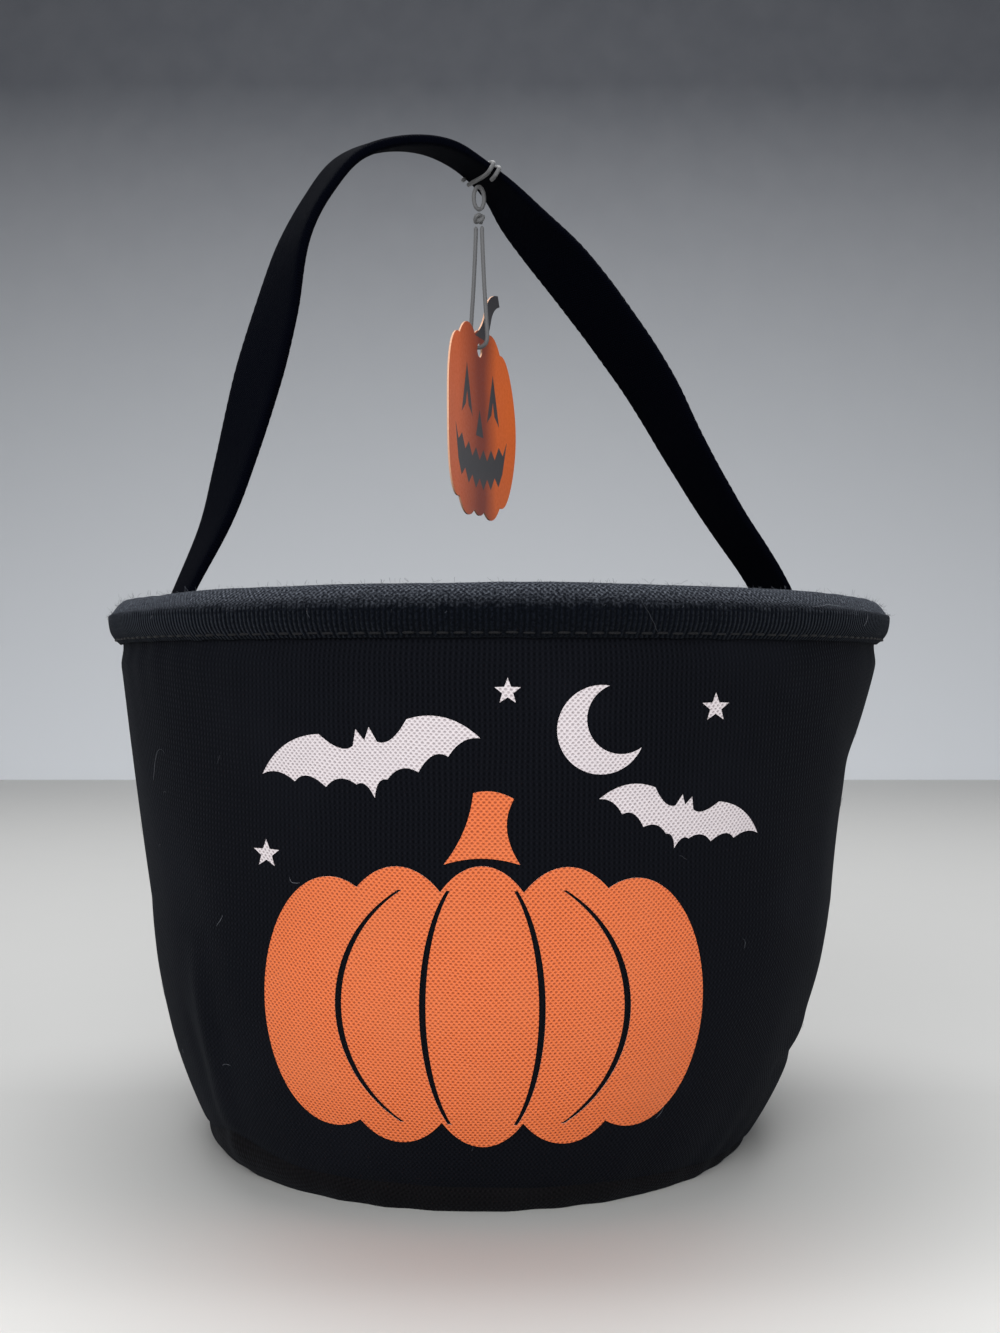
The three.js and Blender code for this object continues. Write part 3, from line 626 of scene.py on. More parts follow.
def rim_paint():
    """The rim's canvas: ribbed and black in front; over the crown of the fold it is fluffy, and painted grey
    as the light from above falling on it. The dips of the weave are painted darker as shade.
    """
    paint = Paint("rim canvas", roughness=0.92, Sheen_Weight=0.05, Sheen_Roughness=0.4,
                  Sheen_Tint=NAP_TINT, Specular_IOR_Level=0.04)
    where, _, up = paint.cloth()
    clumps = paint.noise(0.3, 3, where, 0.6)
    fuzz = paint.noise(1.5, 4, where, 0.7)
    level = paint.plus(up, paint.math("MULTIPLY_ADD", clumps, 5.0, third=-2.5))
    # painted top light: the band over the crown of the fold, with ragged edges, where the colour turns grey
    crown = paint.times(paint.stretch(level, 150.5, 155), paint.stretch(level, 169, 164))
    weave = paint.weave(THREAD_PITCH, ROW_PITCH, paint.stretch(up, 149, 154, 0.8, 0.2))
    tufts = paint.stretch(fuzz, 0.43, 0.62, 0.04, 1.75)
    # the crown's lighter colours are painted top light, and the deep colours are painted shade in the dips of
    # the weave
    raised = paint.mix(crown, (0.0052, 0.0068, 0.0112), (0.1, 0.11, 0.132))
    deep = paint.mix(crown, (0.001, 0.0016, 0.003), (0.006, 0.0075, 0.011))
    lit = paint.times(paint.math("POWER", weave, 1.4), tufts)
    paint.colour(lit, deep, raised)
    paint.set("Normal", paint.bump(fuzz, 0.3, 0.8, paint.bump(weave, 0.45)))
    return paint.material


def strap_paint():
    """Black cotton webbing: close ribs across, the dips between them painted darker as shade, a fuzzy nap."""
    paint = Paint("strap webbing", roughness=0.92, Sheen_Weight=0.006, Sheen_Roughness=0.35,
                  Sheen_Tint=(0.7, 0.8, 1.0), Specular_IOR_Level=0.02)
    weave = paint.weave(0.42, 0.4, 0.15, 0.2)
    where, _, _ = paint.cloth()
    fuzz = paint.noise(2.6, 3, where, 0.7)
    lit = paint.times(weave, paint.stretch(fuzz, 0.3, 0.75, 0.5, 1.3))
    # painted shade in the dips between the ribs; fuzz adds random tone
    paint.colour(lit, (0.0003, 0.0005, 0.0016), (0.0012, 0.0018, 0.0048))
    paint.set("Normal", paint.bump(fuzz, 0.12, 0.7, paint.bump(weave, 0.28)))
    return paint.material


def film_paint(name, light, dark, worn):
    """Heat-pressed film: the weave shows through as dimples, painted darker as shade, and the colour is worn
    in places.
    """
    paint = Paint(name, roughness=0.5, Specular_IOR_Level=0.4)
    weave = paint.stretch(paint.weave(THREAD_PITCH, ROW_PITCH, 0.1, course=0.5), -0.2, 0.5)
    where, _, _ = paint.cloth()
    patches = paint.noise(0.05, 3, where)
    grain = paint.noise(1.6, 2, where)
    height = paint.plus(weave, paint.times(grain, 0.3))
    # painted shade: the dimples take the dark colour; grain adds random tone
    colour = paint.mix(paint.stretch(height, 0.3, 1.05), dark, light)
    paint.colour(paint.stretch(patches, 0.45, 0.8, 0, 0.35), colour, worn)
    paint.set("Roughness", paint.stretch(patches, 0.3, 0.7, 0.42, 0.6))
    paint.set("Normal", paint.bump(height, 0.26, 0.9))
    return paint.material


def grain_paint(name, dark, light, scale, detail=2, spread=None, **sockets):
    """A plain material with a fine grain between two colours; spread is the part of the grain that shows."""
    paint = Paint(name, **sockets)
    grain = paint.noise(scale, detail)
    paint.colour(paint.stretch(grain, *spread) if spread else grain, dark, light)
    return paint.material


def thread_paint():
    paint = Paint("sewing thread", roughness=0.7, Sheen_Weight=0.04, Specular_IOR_Level=0.2)
    _, x, y = paint.cloth()
    height = paint.stretch(paint.wave(paint.plus(x, y), 0.5), -1, 1)
    # painted shade in the grooves of the thread's twist
    paint.colour(height, (0.0012, 0.0014, 0.002), (0.006, 0.0065, 0.009))
    paint.set("Normal", paint.bump(height, 0.05))
    return paint.material


def lining_paint():
    paint = Paint("lining cloth", roughness=0.7, Sheen_Weight=0.15, Sheen_Roughness=0.4,
                  Specular_IOR_Level=0.3)
    weave = paint.weave(0.28, 0.28, 0.0, 0.15)
    where, _, _ = paint.cloth()
    patches = paint.noise(0.03, 3, where)
    lit = paint.times(weave, paint.stretch(patches, 0.3, 0.7, 0.7, 1.2))
    # painted shade in the dips of the weave; the patches are random tone
    paint.colour(lit, (0.008, 0.0085, 0.01), (0.026, 0.027, 0.032))
    paint.set("Normal", paint.bump(weave, 0.08, 0.8))
    return paint.material


def felt_paint():
    paint = Paint("stiffening felt", roughness=0.95, Sheen_Weight=0.3)
    fibres = paint.noise(1200, 4, roughness=0.7)
    tone = paint.times(fibres, paint.noise(160, 3))
    paint.colour(tone, (0.03, 0.03, 0.032), (0.12, 0.12, 0.125))
    paint.set("Normal", paint.bump(fibres, 0.3))
    return paint.material


def board_paint():
    paint = Paint("base board", roughness=0.85)
    fibres = paint.noise(700, 4, roughness=0.65)
    blotches = paint.noise(60, 2)
    colour = paint.mix(fibres, (0.2, 0.145, 0.09), (0.38, 0.3, 0.2))
    paint.colour(paint.stretch(blotches, 0.45, 0.7, 0, 0.4), colour, (0.24, 0.19, 0.13))
    paint.set("Normal", paint.bump(fibres, 0.08))
    return paint.material


def hoop_paint():
    paint = Paint("hoop plastic", roughness=0.45, Subsurface_Weight=0.05)
    streaks = paint.noise(240, 3)
    paint.colour(streaks, (0.4, 0.38, 0.33), (0.52, 0.5, 0.45))
    paint.set("Roughness", paint.stretch(streaks, 0.3, 0.7, 0.35, 0.55))
    return paint.material


def string_paint():
    """Off-white waxed cotton string."""
    paint = Paint("tag string", roughness=0.62, Sheen_Weight=0.2)
    where, x, y = paint.cloth()
    fibres = paint.noise(3.5, 3, where, 0.7)
    strand = paint.wave(paint.plus(paint.times(x, 2.0), paint.times(y, 1.5)), 0.8)
    tone = paint.plus(paint.times(fibres, 0.7), paint.times(strand, 0.15))
    # the fibres are random tone; the strand wave paints shade in the grooves of the twist
    paint.colour(tone, (0.06, 0.062, 0.066), (0.17, 0.17, 0.174))
    paint.set("Normal", paint.bump(tone, 0.06))
    return paint.material


def tag_paint(left, middle, right):
    """Glossy printed card, painted darker down the middle as shade, as on a bent card, and lighter towards
    its sides.
    """
    paint = Paint("tag face", roughness=0.4, Coat_Weight=0.12, Coat_Roughness=0.2, Specular_IOR_Level=0.25)
    where, x, _ = paint.cloth()
    grain = paint.noise(0.9, 3, where)
    soft = paint.plus(x, paint.times(paint.noise(0.06, 1, where), 4.0))
    into_middle_shade = paint.stretch(soft, -TAG_WIDTH * 0.3, TAG_WIDTH * 0.02)
    toward_right = paint.stretch(soft, TAG_WIDTH * 0.1, TAG_WIDTH * 0.28)
    # painted shade down the middle of the card, lighter at both sides
    colour = paint.mix(into_middle_shade, left, middle)
    colour = paint.mix(toward_right, colour, right)
    colour = paint.mix(paint.stretch(grain, 0.4, 0.8, 0, 0.18), colour, (0.5, 0.09, 0.02))
    paint.set("Base Color", colour)
    paint.set("Roughness", paint.stretch(grain, 0.3, 0.7, 0.28, 0.42))
    return paint.material


WALL_CANVAS = canvas_paint(
    "wall canvas", (0.001, 0.0013, 0.0024), (0.0057, 0.0064, 0.0096), (0.15, 0.5), bump=0.23, sheen=0.016)
RIM_CANVAS = rim_paint()
BASE_CANVAS = canvas_paint(
    "base canvas", (0.002, 0.0018, 0.0022), (0.007, 0.0065, 0.0075), (0.2, 0.2), bump=0.3, sheen=0.02)
STRAP = strap_paint()
THREAD = thread_paint()
LINING_CLOTH = lining_paint()
FELT_CLOTH = felt_paint()
BOARD = board_paint()
HOOP = hoop_paint()
ORANGE = film_paint("orange film", (0.72, 0.153, 0.039), (0.4, 0.063, 0.0135), (0.64, 0.17, 0.06))
WHITE = film_paint("white film", (0.66, 0.6, 0.62), (0.41, 0.355, 0.375), (0.58, 0.53, 0.56))
FILM_EDGE = grain_paint("film edge", (0.5, 0.42, 0.4), (0.72, 0.66, 0.64), 900, roughness=0.7)
STRING = string_paint()
BEAD = grain_paint("bead", (0.004, 0.03, 0.026), (0.02, 0.13, 0.1), 500, roughness=0.18, Coat_Weight=0.6,
                   Coat_Roughness=0.08)
# the middle colour is the painted shade down the card's middle
TAG_FACE = tag_paint((0.86, 0.165, 0.043), (0.29, 0.041, 0.016), (0.88, 0.155, 0.014))
INK = grain_paint("tag ink", (0.018, 0.016, 0.02), (0.04, 0.036, 0.042), 900, roughness=0.4, Coat_Weight=0.4,
                  Coat_Roughness=0.2)
CARD_EDGE = grain_paint("card edge", (0.62, 0.3, 0.16), (0.82, 0.5, 0.34), 1500, 3, roughness=0.75)
HAIR = {"scale": 60, "spread": (0.35, 0.65), "roughness": 0.8, "Specular_IOR_Level": 0.2}
LINT = grain_paint("lint", (0.05, 0.054, 0.065), (0.2, 0.21, 0.24), **HAIR)
# grey fluff: its grey is painted top light, as on the rim's crown
NAP = grain_paint("rim nap", (0.02, 0.022, 0.028), (0.12, 0.13, 0.155), **HAIR)


def finish_piece(piece, body, slot, *nodes):
    """Puts a piece on its body and in the place of its solids. slot is not used."""
    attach(piece, body)
    if nodes:
        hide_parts(*nodes)
    return piece


# The strap's middle line and directions, which the string and tag hang from

STRAP_LINE = [
    (-0.932, 0.013, 0), (-0.846, 0.149, 6), (-0.793, 0.279, 15), (-0.735, 0.442, 25), (-0.682, 0.593, 21),
    (-0.628, 0.752, 5), (-0.556, 0.859, 4.5), (-0.462, 0.948, 9.5), (-0.318, 0.9945, 12), (-0.174, 0.996, 10),
    (-0.024, 0.937, 9), (0.077, 0.863, -10), (0.222, 0.765, -26), (0.358, 0.657, -26), (0.508, 0.521, -21),
    (0.639, 0.371, -10), (0.779, 0.223, -5), (0.935, 0.076, -3), (0.985, 0.013, 0),
]
STRAP_TIP = HINGE_HEIGHT - STRAP_WIDTH / 2
UP = np.array([0.0, 0.0, 1.0])
ACROSS = np.array([math.cos(HANDLE_TURN), math.sin(HANDLE_TURN), 0.0])
THROUGH = np.array([-math.sin(HANDLE_TURN), math.cos(HANDLE_TURN), 0.0])


def on_loop(share, height):
    return ACROSS * share * STRAP_FLOOR + UP * height


LOOP_STOPS = [
    on_loop(-0.976, STRAP_TIP),
    *(on_loop(share, RIM_TOP + HANDLE_RISE * rise) for share, rise, _ in STRAP_LINE),
    on_loop(0.997, STRAP_TIP),
]
LOOP_TWISTS = [0, *(twist for _, _, twist in STRAP_LINE), 0]
LOOP = Route(LOOP_STOPS)


def twist_at(route, distance, twists):
    """The strap's twist in degrees, between those given at the route's stops."""
    return np.interp(route.stop_at(distance), range(len(twists)), twists)


def strap_directions(along, twist):
    """The strap's width and outer face at a point, from its direction and its twist in degrees."""
    up = unit(-along[..., 2:] * ACROSS + (along @ ACROSS)[..., None] * UP)
    turn = np.radians(twist)[..., None]
    width = np.cos(turn) * THROUGH + np.sin(turn) * up
    face = np.cos(turn) * up - np.sin(turn) * THROUGH
    return width, face


def beside_strap(share, along, across, out):
    """A place by the strap: a share of the loop's length, then how far along, across and out of its face."""
    distance = np.array(share * LOOP.length)
    direction = LOOP.along(distance)
    width, face = strap_directions(direction, np.array(twist_at(LOOP, distance, LOOP_TWISTS)))
    return LOOP.at(distance) + along * direction + across * width + out * face


# String and hang tag

WRAP_CLEAR = 0.3 + STRING_DIAMETER / 2
WRAP_SLACK = 0.7
BIGHT_WIDTH = 3.4
BIGHT_LENGTH = 6.5
KNOT_DIAMETER = 4.0
under_strap = beside_strap(WRAP_PLACE, 0, 0, -STRAP_THICKNESS / 2)
bight_top = under_strap - UP * (2 * WRAP_CLEAR + WRAP_SLACK / 2 + STRING_DIAMETER / 2)
knot_pivot = bight_top - UP * (BIGHT_LENGTH - BIGHT_WIDTH / 2)
knot_middle = knot_pivot - UP * (BIGHT_WIDTH / 2 + STRING_DIAMETER / 2 + 0.3 + KNOT_DIAMETER / 2)
tag_hole = knot_middle - UP * STRING_DROP
tag_out = np.array([math.sin(TAG_TURN), -math.cos(TAG_TURN), 0.0])
tag_across = np.array([math.cos(TAG_TURN), math.sin(TAG_TURN), 0.0])

# One side of the long loop, from the knot to the hole: out from the middle, and below the knot
LOOP_SIDE = [
    (1, 2.25), (1, 4.5), (1.15, 8.5), (1.4, 14), (1.65, 19), (1.95, 24), (2.3, 29), (2.55, 33.1),
    (2.65, 36.3), (2.3, 37.65), (1.3, 38.6),
]
LOOP_FOOT = 38.95


def make_loop():
    """The loop of string that carries the tag: its plies follow the route, and its length is the route's."""
    stops = [(-out, down) for out, down in LOOP_SIDE] + [(0, LOOP_FOOT)] + LOOP_SIDE[::-1]
    route = Route([knot_middle + out * tag_out - down * UP for out, down in stops])
    return string_piece("string_loop_twisted", route, "hang_tag", "string_loop"), route


def make_winding():
    """Two turns of string round the strap, drawn close to it, with both ends tucked under."""
    wide = STRAP_WIDTH / 2 + STRING_DIAMETER / 2 + 0.15
    deep = STRAP_THICKNESS / 2 + STRING_DIAMETER / 2 + 0.1
    start = 0.06
    per_turn = 24
    squareness = 0.42  # 1 is an ellipse, and 0 a box
    points = []
    for i in range(round((WRAPS - 2 * start) * per_turn) + 1):
        turn = start + i / per_turn
        angle = turn * TURN - math.pi / 2
        along = (turn / WRAPS - 0.5) * WRAPS * WRAP_PITCH
        across, out = (math.copysign(abs(f) ** squareness, f) for f in (math.cos(angle), math.sin(angle)))
        points.append(beside_strap(WRAP_PLACE, along, wide * across, deep * out))
    string_piece("string_winding_twisted", Route(points, fineness=12), "handle", "string_winding")


def make_bight():
    """The small loop of string under the strap that the knot hangs from."""
    count = 12
    points = []
    for i in range(count):
        angle = i * TURN / count
        drop = (BIGHT_LENGTH + 0.3) / 2 * (1 - math.cos(angle)) - 0.15
        points.append(bight_top + ACROSS * BIGHT_WIDTH / 2 * math.sin(angle) - UP * drop)
    string_piece("string_bight_twisted", Route(points, closed=True, fineness=12), "tag_bight", "string_bight")


def make_knot():
    """An overhand knot pulled tight: the string goes three times round, in and out."""
    count = 36
    points = []
    for i in range(count):
        t = i * TURN / count
        reach = 0.82 * (1 + 0.55 * math.cos(3 * t))
        flat = reach * (math.cos(2 * t) * tag_out + math.sin(2 * t) * tag_across)
        points.append(knot_middle + flat + UP * 0.95 * math.sin(3 * t))
    route = Route(points, closed=True, fineness=8)
    string_piece("string_knot_tied", route, "tag_knot", "string_knot", sides=18)


BEAD_RADIUS = 1.5
BEAD_STRETCH = 1.1


def make_bead():
    """The small dark green seal that holds the winding's end: a pinched drop."""
    past_winding = WRAPS * WRAP_PITCH / 2 + 1.8
    place = beside_strap(WRAP_PLACE, past_winding, STRAP_WIDTH * 0.3, STRAP_THICKNESS / 2 + BEAD_RADIUS)
    up = np.linspace(math.pi - 0.02, 0.02, 20)[:, None]
    around = np.linspace(0, TURN, 28, endpoint=False)[None, :]
    size = BEAD_RADIUS * (1 + 0.09 * np.sin(3 * around + 1) * np.sin(up) + 0.05 * np.sin(5 * around + 4 * up))
    points = turned(around, size * np.sin(up), size * np.cos(up)) * (BEAD_STRETCH, 1, 1)
    bead = grid_piece("string_bead_moulded", points + place, points[..., :2], BEAD, ends=True)
    finish_piece(bead, "handle", "bead_plastic", "string_bead")


# Outlines, drawn as seen from the front: across and up

def arc(across, up, half_width, half_height, start, end, count, endpoint=True):
    angle = np.linspace(start, end, count, endpoint)
    return np.stack([across + half_width * np.cos(angle), up + half_height * np.sin(angle)], -1)


def ellipse(across, up, half_width, half_height, count=84):
    return arc(across, up, half_width, half_height, 0, TURN, count, False)


def pen(start, *strokes, fine):
    """An outline from strokes: one point is a straight stroke, two are a curve pulled to the first."""
    line = [np.array(start, float)]
    for stroke in strokes:
        if len(stroke) == 1:
            line.append(np.array(stroke[0], float))
            continue
        here, pull, end = line[-1], np.array(stroke[0], float), np.array(stroke[1], float)
        for t in np.linspace(0, 1, fine + 1)[1:]:
            line.append((1 - t) ** 2 * here + 2 * t * (1 - t) * pull + t ** 2 * end)
    if np.linalg.norm(line[0] - line[-1]) < 1e-6:
        line.pop()
    return np.array(line)


# Lobes of a pumpkin: place from its middle, half width and half height, as shares of the pumpkin's own
PRINT_LOBES = [(0, 0.324, 1), (0.38, 0.346, 0.99), (0.69, 0.335, 0.9)]
TAG_LOBES = [(0, 0.43, 0.98), (0.33, 0.49, 1), (0.64, 0.365, 0.84)]


def pumpkin_lobes(lobes, across, up, width, height):
    """The middle lobe, and each of the others on both sides."""
    return [ellipse(across + side * place * width / 2, up, wide * width / 2, tall * height / 2)
            for place, wide, tall in lobes for side in ((-1, 1) if place else (1,))]


PUMPKIN = {"across": -4, "up": 54, "width": 106, "height": 70, "rib": 1.6}
STEM = {"height": 17, "foot": 18, "waist": 7, "top": 9.5}
BATS = {"large": (-31, 115, 54, 10), "small": (44, 100, 42, -14)}
MOON = {"across": 24, "up": 121, "radius": 10.5, "tilt": 28}
STARS = {"left": (-57, 90, 3.6), "middle": (2, 130, 3.2), "right": (52, 126, 3.6)}
FILM_BACK = 0.08  # the film lies this far out from the canvas
FILM_FRONT = 0.34


def rib_slot(share):
    """The gap between two ribs of the printed pumpkin, where the canvas shows."""
    across, up = PUMPKIN["across"], PUMPKIN["up"]
    wide = abs(share) * PUMPKIN["width"] / 2
    tall = PUMPKIN["height"] / 2
    half = PUMPKIN["rib"] / 2
    turn = 0 if share > 0 else math.pi
    reach = 0.98
    outer = arc(across, up, wide + half, tall, turn - reach, turn + reach, 36)
    inner = arc(across, up, wide - half, tall, turn + reach, turn - reach, 36)
    return np.concatenate([outer, inner])


def stem_outline():
    middle = PUMPKIN["across"]
    foot = PUMPKIN["up"] + PUMPKIN["height"] / 2 + 0.3
    wide, waist, top = STEM["foot"] / 2, STEM["waist"] / 2, STEM["top"]

    def at(share):
        return foot + share * STEM["height"]

    return pen((middle - wide, foot), [(middle, at(0.18)), (middle + wide, foot)],
               [(middle + waist, at(0.5)), (middle - 2 + top, at(0.92))],
               [(middle - 2 + top / 2, at(1.08)), (middle - 2, at(1))],
               [(middle + 0.5 - waist, at(0.45)), (middle - wide, foot)], fine=14)


BAT_HALF = [
    [(0.06, 0.24)], [(0.11, 0.1)], [(0.22, 0.03), (0.4, 0.25)], [(0.76, 0.3), (1, -0.02)],
    [(0.84, 0.03), (0.7, -0.13)], [(0.58, -0.02), (0.42, -0.22)], [(0.28, -0.1), (0.14, -0.24)],
    [(0.05, -0.2), (0, -0.38)],
]
BAT_CROWN = (0, 0.13)


def bat_outline(across, up, span, tilt):
    right = pen(BAT_CROWN, *BAT_HALF, fine=12)
    left = right[1:-1][::-1] * (-1, 1)
    shape = np.concatenate([right, left]) * span / 2
    turn = math.radians(tilt)
    return np.stack([across + shape[:, 0] * math.cos(turn) - shape[:, 1] * math.sin(turn),
                     up + shape[:, 0] * math.sin(turn) + shape[:, 1] * math.cos(turn)], -1)


def moon_outline():
    across, up, radius = MOON["across"], MOON["up"], MOON["radius"]
    tilt, horn = math.radians(MOON["tilt"]), math.radians(52)
    shift = 0.52 * radius
    horn_x, horn_y = radius * math.cos(horn) - shift, radius * math.sin(horn)
    bite, gape = math.hypot(horn_x, horn_y), math.atan2(horn_y, horn_x)
    outer = arc(across, up, radius, radius, tilt + horn, tilt + TURN - horn, 60)
    middle = (across + shift * math.cos(tilt), up + shift * math.sin(tilt))
    inner = arc(*middle, bite, bite, tilt + TURN - gape, tilt + gape, 44)
    return np.concatenate([outer, inner[1:-1]])


def star_outline(across, up, radius):
    points = []
    for i in range(10):
        reach = radius if i % 2 == 0 else radius * 0.42
        angle = math.pi / 2 + i * math.pi / 5
        points.append((across + reach * math.cos(angle), up + reach * math.sin(angle)))
    return np.array(points)


def front_angle(points, out):
    """The angle at which the front of the wall stands straight behind flat points."""
    across, up = points[:, 0], points[:, 1]
    radius = wall_radius(up)
    for _ in range(7):
        angle = -np.arccos(np.clip((across - foot_slide(up)[0]) / radius, -1, 1))
        radius = cloth_radius(angle, up) + out
    return angle


def film_piece(name, outlines, keep, material, spacing):
    def place(points, front):
        out = FILM_FRONT if front else FILM_BACK
        return on_wall(front_angle(points, out), points[:, 1], out)

    def cloth(points):
        return in_cloth(front_angle(points, 0), points[:, 1])

    piece = cut_sheet(name + "_film", outlines, keep, spacing, place, cloth, [material, FILM_EDGE])
    finish_piece(piece, "bucket", "orange_film" if material == ORANGE else "white_film", name)


def make_print():
    lobes = pumpkin_lobes(PRINT_LOBES, PUMPKIN["across"], PUMPKIN["up"], PUMPKIN["width"], PUMPKIN["height"])
    slots = [rib_slot(share) for share in (-0.66, -0.27, 0.27, 0.66)]

    film_piece("print_pumpkin", lobes + slots,
               lambda points: inside(points, *lobes) & ~inside(points, *slots), ORANGE, 2.0)

    def simple(name, outline, material):
        film_piece(name, [outline], lambda points: inside(points, outline), material, 1.3)

    simple("print_stem", stem_outline(), ORANGE)
    for name, bat in BATS.items():
        simple("print_bat_" + name, bat_outline(*bat), WHITE)
    simple("print_moon", moon_outline(), WHITE)
    for name, star in STARS.items():
        simple("print_star_" + name, star_outline(*star), WHITE)


# The hang tag's card

TAG_MIDDLE = TAG_HOLE_BELOW_TOP - TAG_HEIGHT / 2
TAG_STEM_HEIGHT = 13.5
TAG_STEM_REACH = 17.5


def tag_stem_outline():
    outline = pen((-0.25, -0.2), [(0.19, 0.06), (0.34, 0.58)], [(0.5, 0.94), (0.91, 1)], [(1, 0.77)],
                  [(0.66, 0.65), (0.56, 0.26)], [(0.38, -0.2)], fine=12)
    return outline * (TAG_STEM_REACH, TAG_STEM_HEIGHT) + (0, TAG_HOLE_BELOW_TOP)


def tag_eye(side):
    """A tall triangle with a notch cut up into its foot."""
    shape = np.array([(0, 8), (5.2, -7.5), (1.3, -4.6), (0, -0.5), (-1.3, -4.6), (-5.2, -7.5)])
    return shape * (side, 1) + (side * 11.5, TAG_MIDDLE + 8.5)


def tag_nose():
    return np.array([(0, 4.6), (3.4, -3.6), (-3.4, -3.6)]) + (0, TAG_MIDDLE - 0.5)


def tag_mouth():
    """A wide band that curves up at its ends, with teeth above and below."""
    teeth = 7
    half = 23.0

    def corner(across, up):
        return across, 0.0095 * across ** 2 + up

    upper = [corner(half * (1 - i / teeth), 0.4 if i % 2 else 3.8) for i in range(2 * teeth + 1)]
    lower = [corner(half * ((i + 1) / teeth - 1), -8.6 if i % 2 else -5.2) for i in range(2 * teeth - 1)]
    return np.array(upper + lower) + (0, TAG_MIDDLE - 11.5)


def make_tag():
    lobes = pumpkin_lobes(TAG_LOBES, 0, TAG_MIDDLE, TAG_WIDTH, TAG_HEIGHT)
    stem = tag_stem_outline()
    hole = ellipse(0, 0, TAG_HOLE_DIAMETER / 2, TAG_HOLE_DIAMETER / 2, 40)
    features = [tag_eye(-1), tag_eye(1), tag_nose(), tag_mouth()]

    def keep(points):
        return inside(points, stem, *lobes) & ~inside(points, hole)

    def ink(points):
        on_stem = inside(points, stem) & (points[:, 1] > 2.5)
        return (on_stem | inside(points, *features)).astype(int)

    def place(points, front):
        reach = TAG_CURL_RADIUS + (-0.5 if front else 0.5) * TAG_THICKNESS
        turn = points[:, :1] / TAG_CURL_RADIUS
        ripple = 0.35 * np.sin(points[:, 1:] / 9 + 1) * (points[:, :1] / 30) ** 2
        behind = reach * np.cos(turn) - TAG_CURL_RADIUS + ripple
        return tag_hole + reach * np.sin(turn) * tag_across - behind * tag_out + points[:, 1:] * UP

    card = cut_sheet("tag_card_printed", [*lobes, stem, hole, *features], keep, 1.6, place,
                     lambda points: points, [TAG_FACE, INK, CARD_EDGE], ink)
    return finish_piece(card, "hang_tag", "tag_card", "tag_card")


# Wall and its layers

ANGLES = np.linspace(-math.pi / 2, 1.5 * math.pi, 640, endpoint=False)


def ring_piece(name, node, slot, profile, place, cloth, material, sharp=None):
    """A ring of cloth round the bucket: a row for each stop of its section, which closes on itself."""
    points = np.stack([place(ANGLES, *row) for row in profile])
    seam = np.append(ANGLES, ANGLES[0] + TURN - 1e-6)
    uv = np.stack([cloth(seam, *row) for row in profile + profile[:1]])
    piece = grid_piece(name, points, uv, material, close_rows=True, sharp=sharp)
    finish_piece(piece, "bucket", slot, node)


WALL_TOP = RIM_TOP - HOOP_ROOM


def make_wall():
    """The canvas wall: its lower edge is turned in over the base seam."""
    ups = np.concatenate([np.linspace(0, 0.3, 46)[:-1], np.linspace(0.3, 1, 80)])
    profile = [(u, 0.0) for u in ups]
    profile += [(u, -CANVAS) for u in (1, 0.8, 0.6, 0.4, 0.3, 0.2, 0.1, 0.03)]
    profile += [(-0.002, -CANVAS), (-0.009, -CANVAS * 0.7), (-0.009, -CANVAS * 0.3)]

    def height(angle, up):
        foot = seam_height(angle)
        return foot + (WALL_TOP - foot) * up

    def at(angle, up, out):
        z = height(angle, up)
        if out == 0.0:
            out = back_lap(angle, z) - 0.5 * np.exp(-np.maximum(0, z - seam_height(angle)) / 0.7)
        return on_wall(angle, z, out)

    ring_piece("canvas_wall", "outer_wall", "black_canvas", profile, at,
               lambda angle, up, out: in_cloth(angle, height(angle, up)), WALL_CANVAS)


def make_felt():
    profile = [(up, -FELT_INSET) for up in np.linspace(0, 1, 40)]
    profile += [(up, -FELT_INSET - FELT) for up in np.linspace(1, 0, 40)]

    def height(angle, up):
        low = seam_height(angle) + BAND_LAP + 0.4
        return low + (WALL_TOP - low) * up

    ring_piece("felt_interlining", "wall_interlining", "stiffening_felt", profile,
               lambda angle, up, out: on_wall(angle, height(angle, up), out),
               lambda angle, up, out: in_cloth(angle, height(angle, up)), FELT_CLOTH)


LINING_FOOT = 4.6
lining_wrinkle = Waves(55, 10, (7, 30), (40, 160))
lining_ease = Waves(56, 7, (3, 9), (25, 70))


def make_lining():
    """The lining: a loose thin cloth with soft wrinkles, gathered a little at its foot."""
    def at(angle, height, out):
        loose = smoothstep(4.5, 22, height) * (1 - smoothstep(WALL_TOP - 14, WALL_TOP - 2, height))
        wrinkle = 0.55 * lining_wrinkle(angle, height) + 0.45 * lining_ease(angle, height)
        return on_wall(angle, height, out - 0.5 * loose - wrinkle * loose * 0.9)

    heights = np.linspace(WALL_TOP, LINING_FOOT, 110)
    profile = [(z, -LINING_INSET - LINING) for z in heights] + [(z, -LINING_INSET) for z in heights[::-1]]
    ring_piece("cloth_lining", "wall_lining", "lining_cloth", profile, at,
               lambda angle, z, out: in_cloth(angle, z + 0 * angle), LINING_CLOTH)


# The base

BASE_MIDDLE = foot_slide(0)
BAND_LAP = 1.2  # how far the band goes up behind the wall's lower edge


def base_band_outside(angle, share):
    """Radius of the base cloth's turned-up edge, from the flat to where it goes behind the wall's cloth."""
    flat = BASE_FLAT_RADIUS + 0.28 * foot_gather(angle, 0)
    top = cloth_radius(angle, seam_height(angle) + BAND_LAP) - CANVAS - 0.15
    return flat + (top - flat) * (1 - (1 - share) ** 2.4)


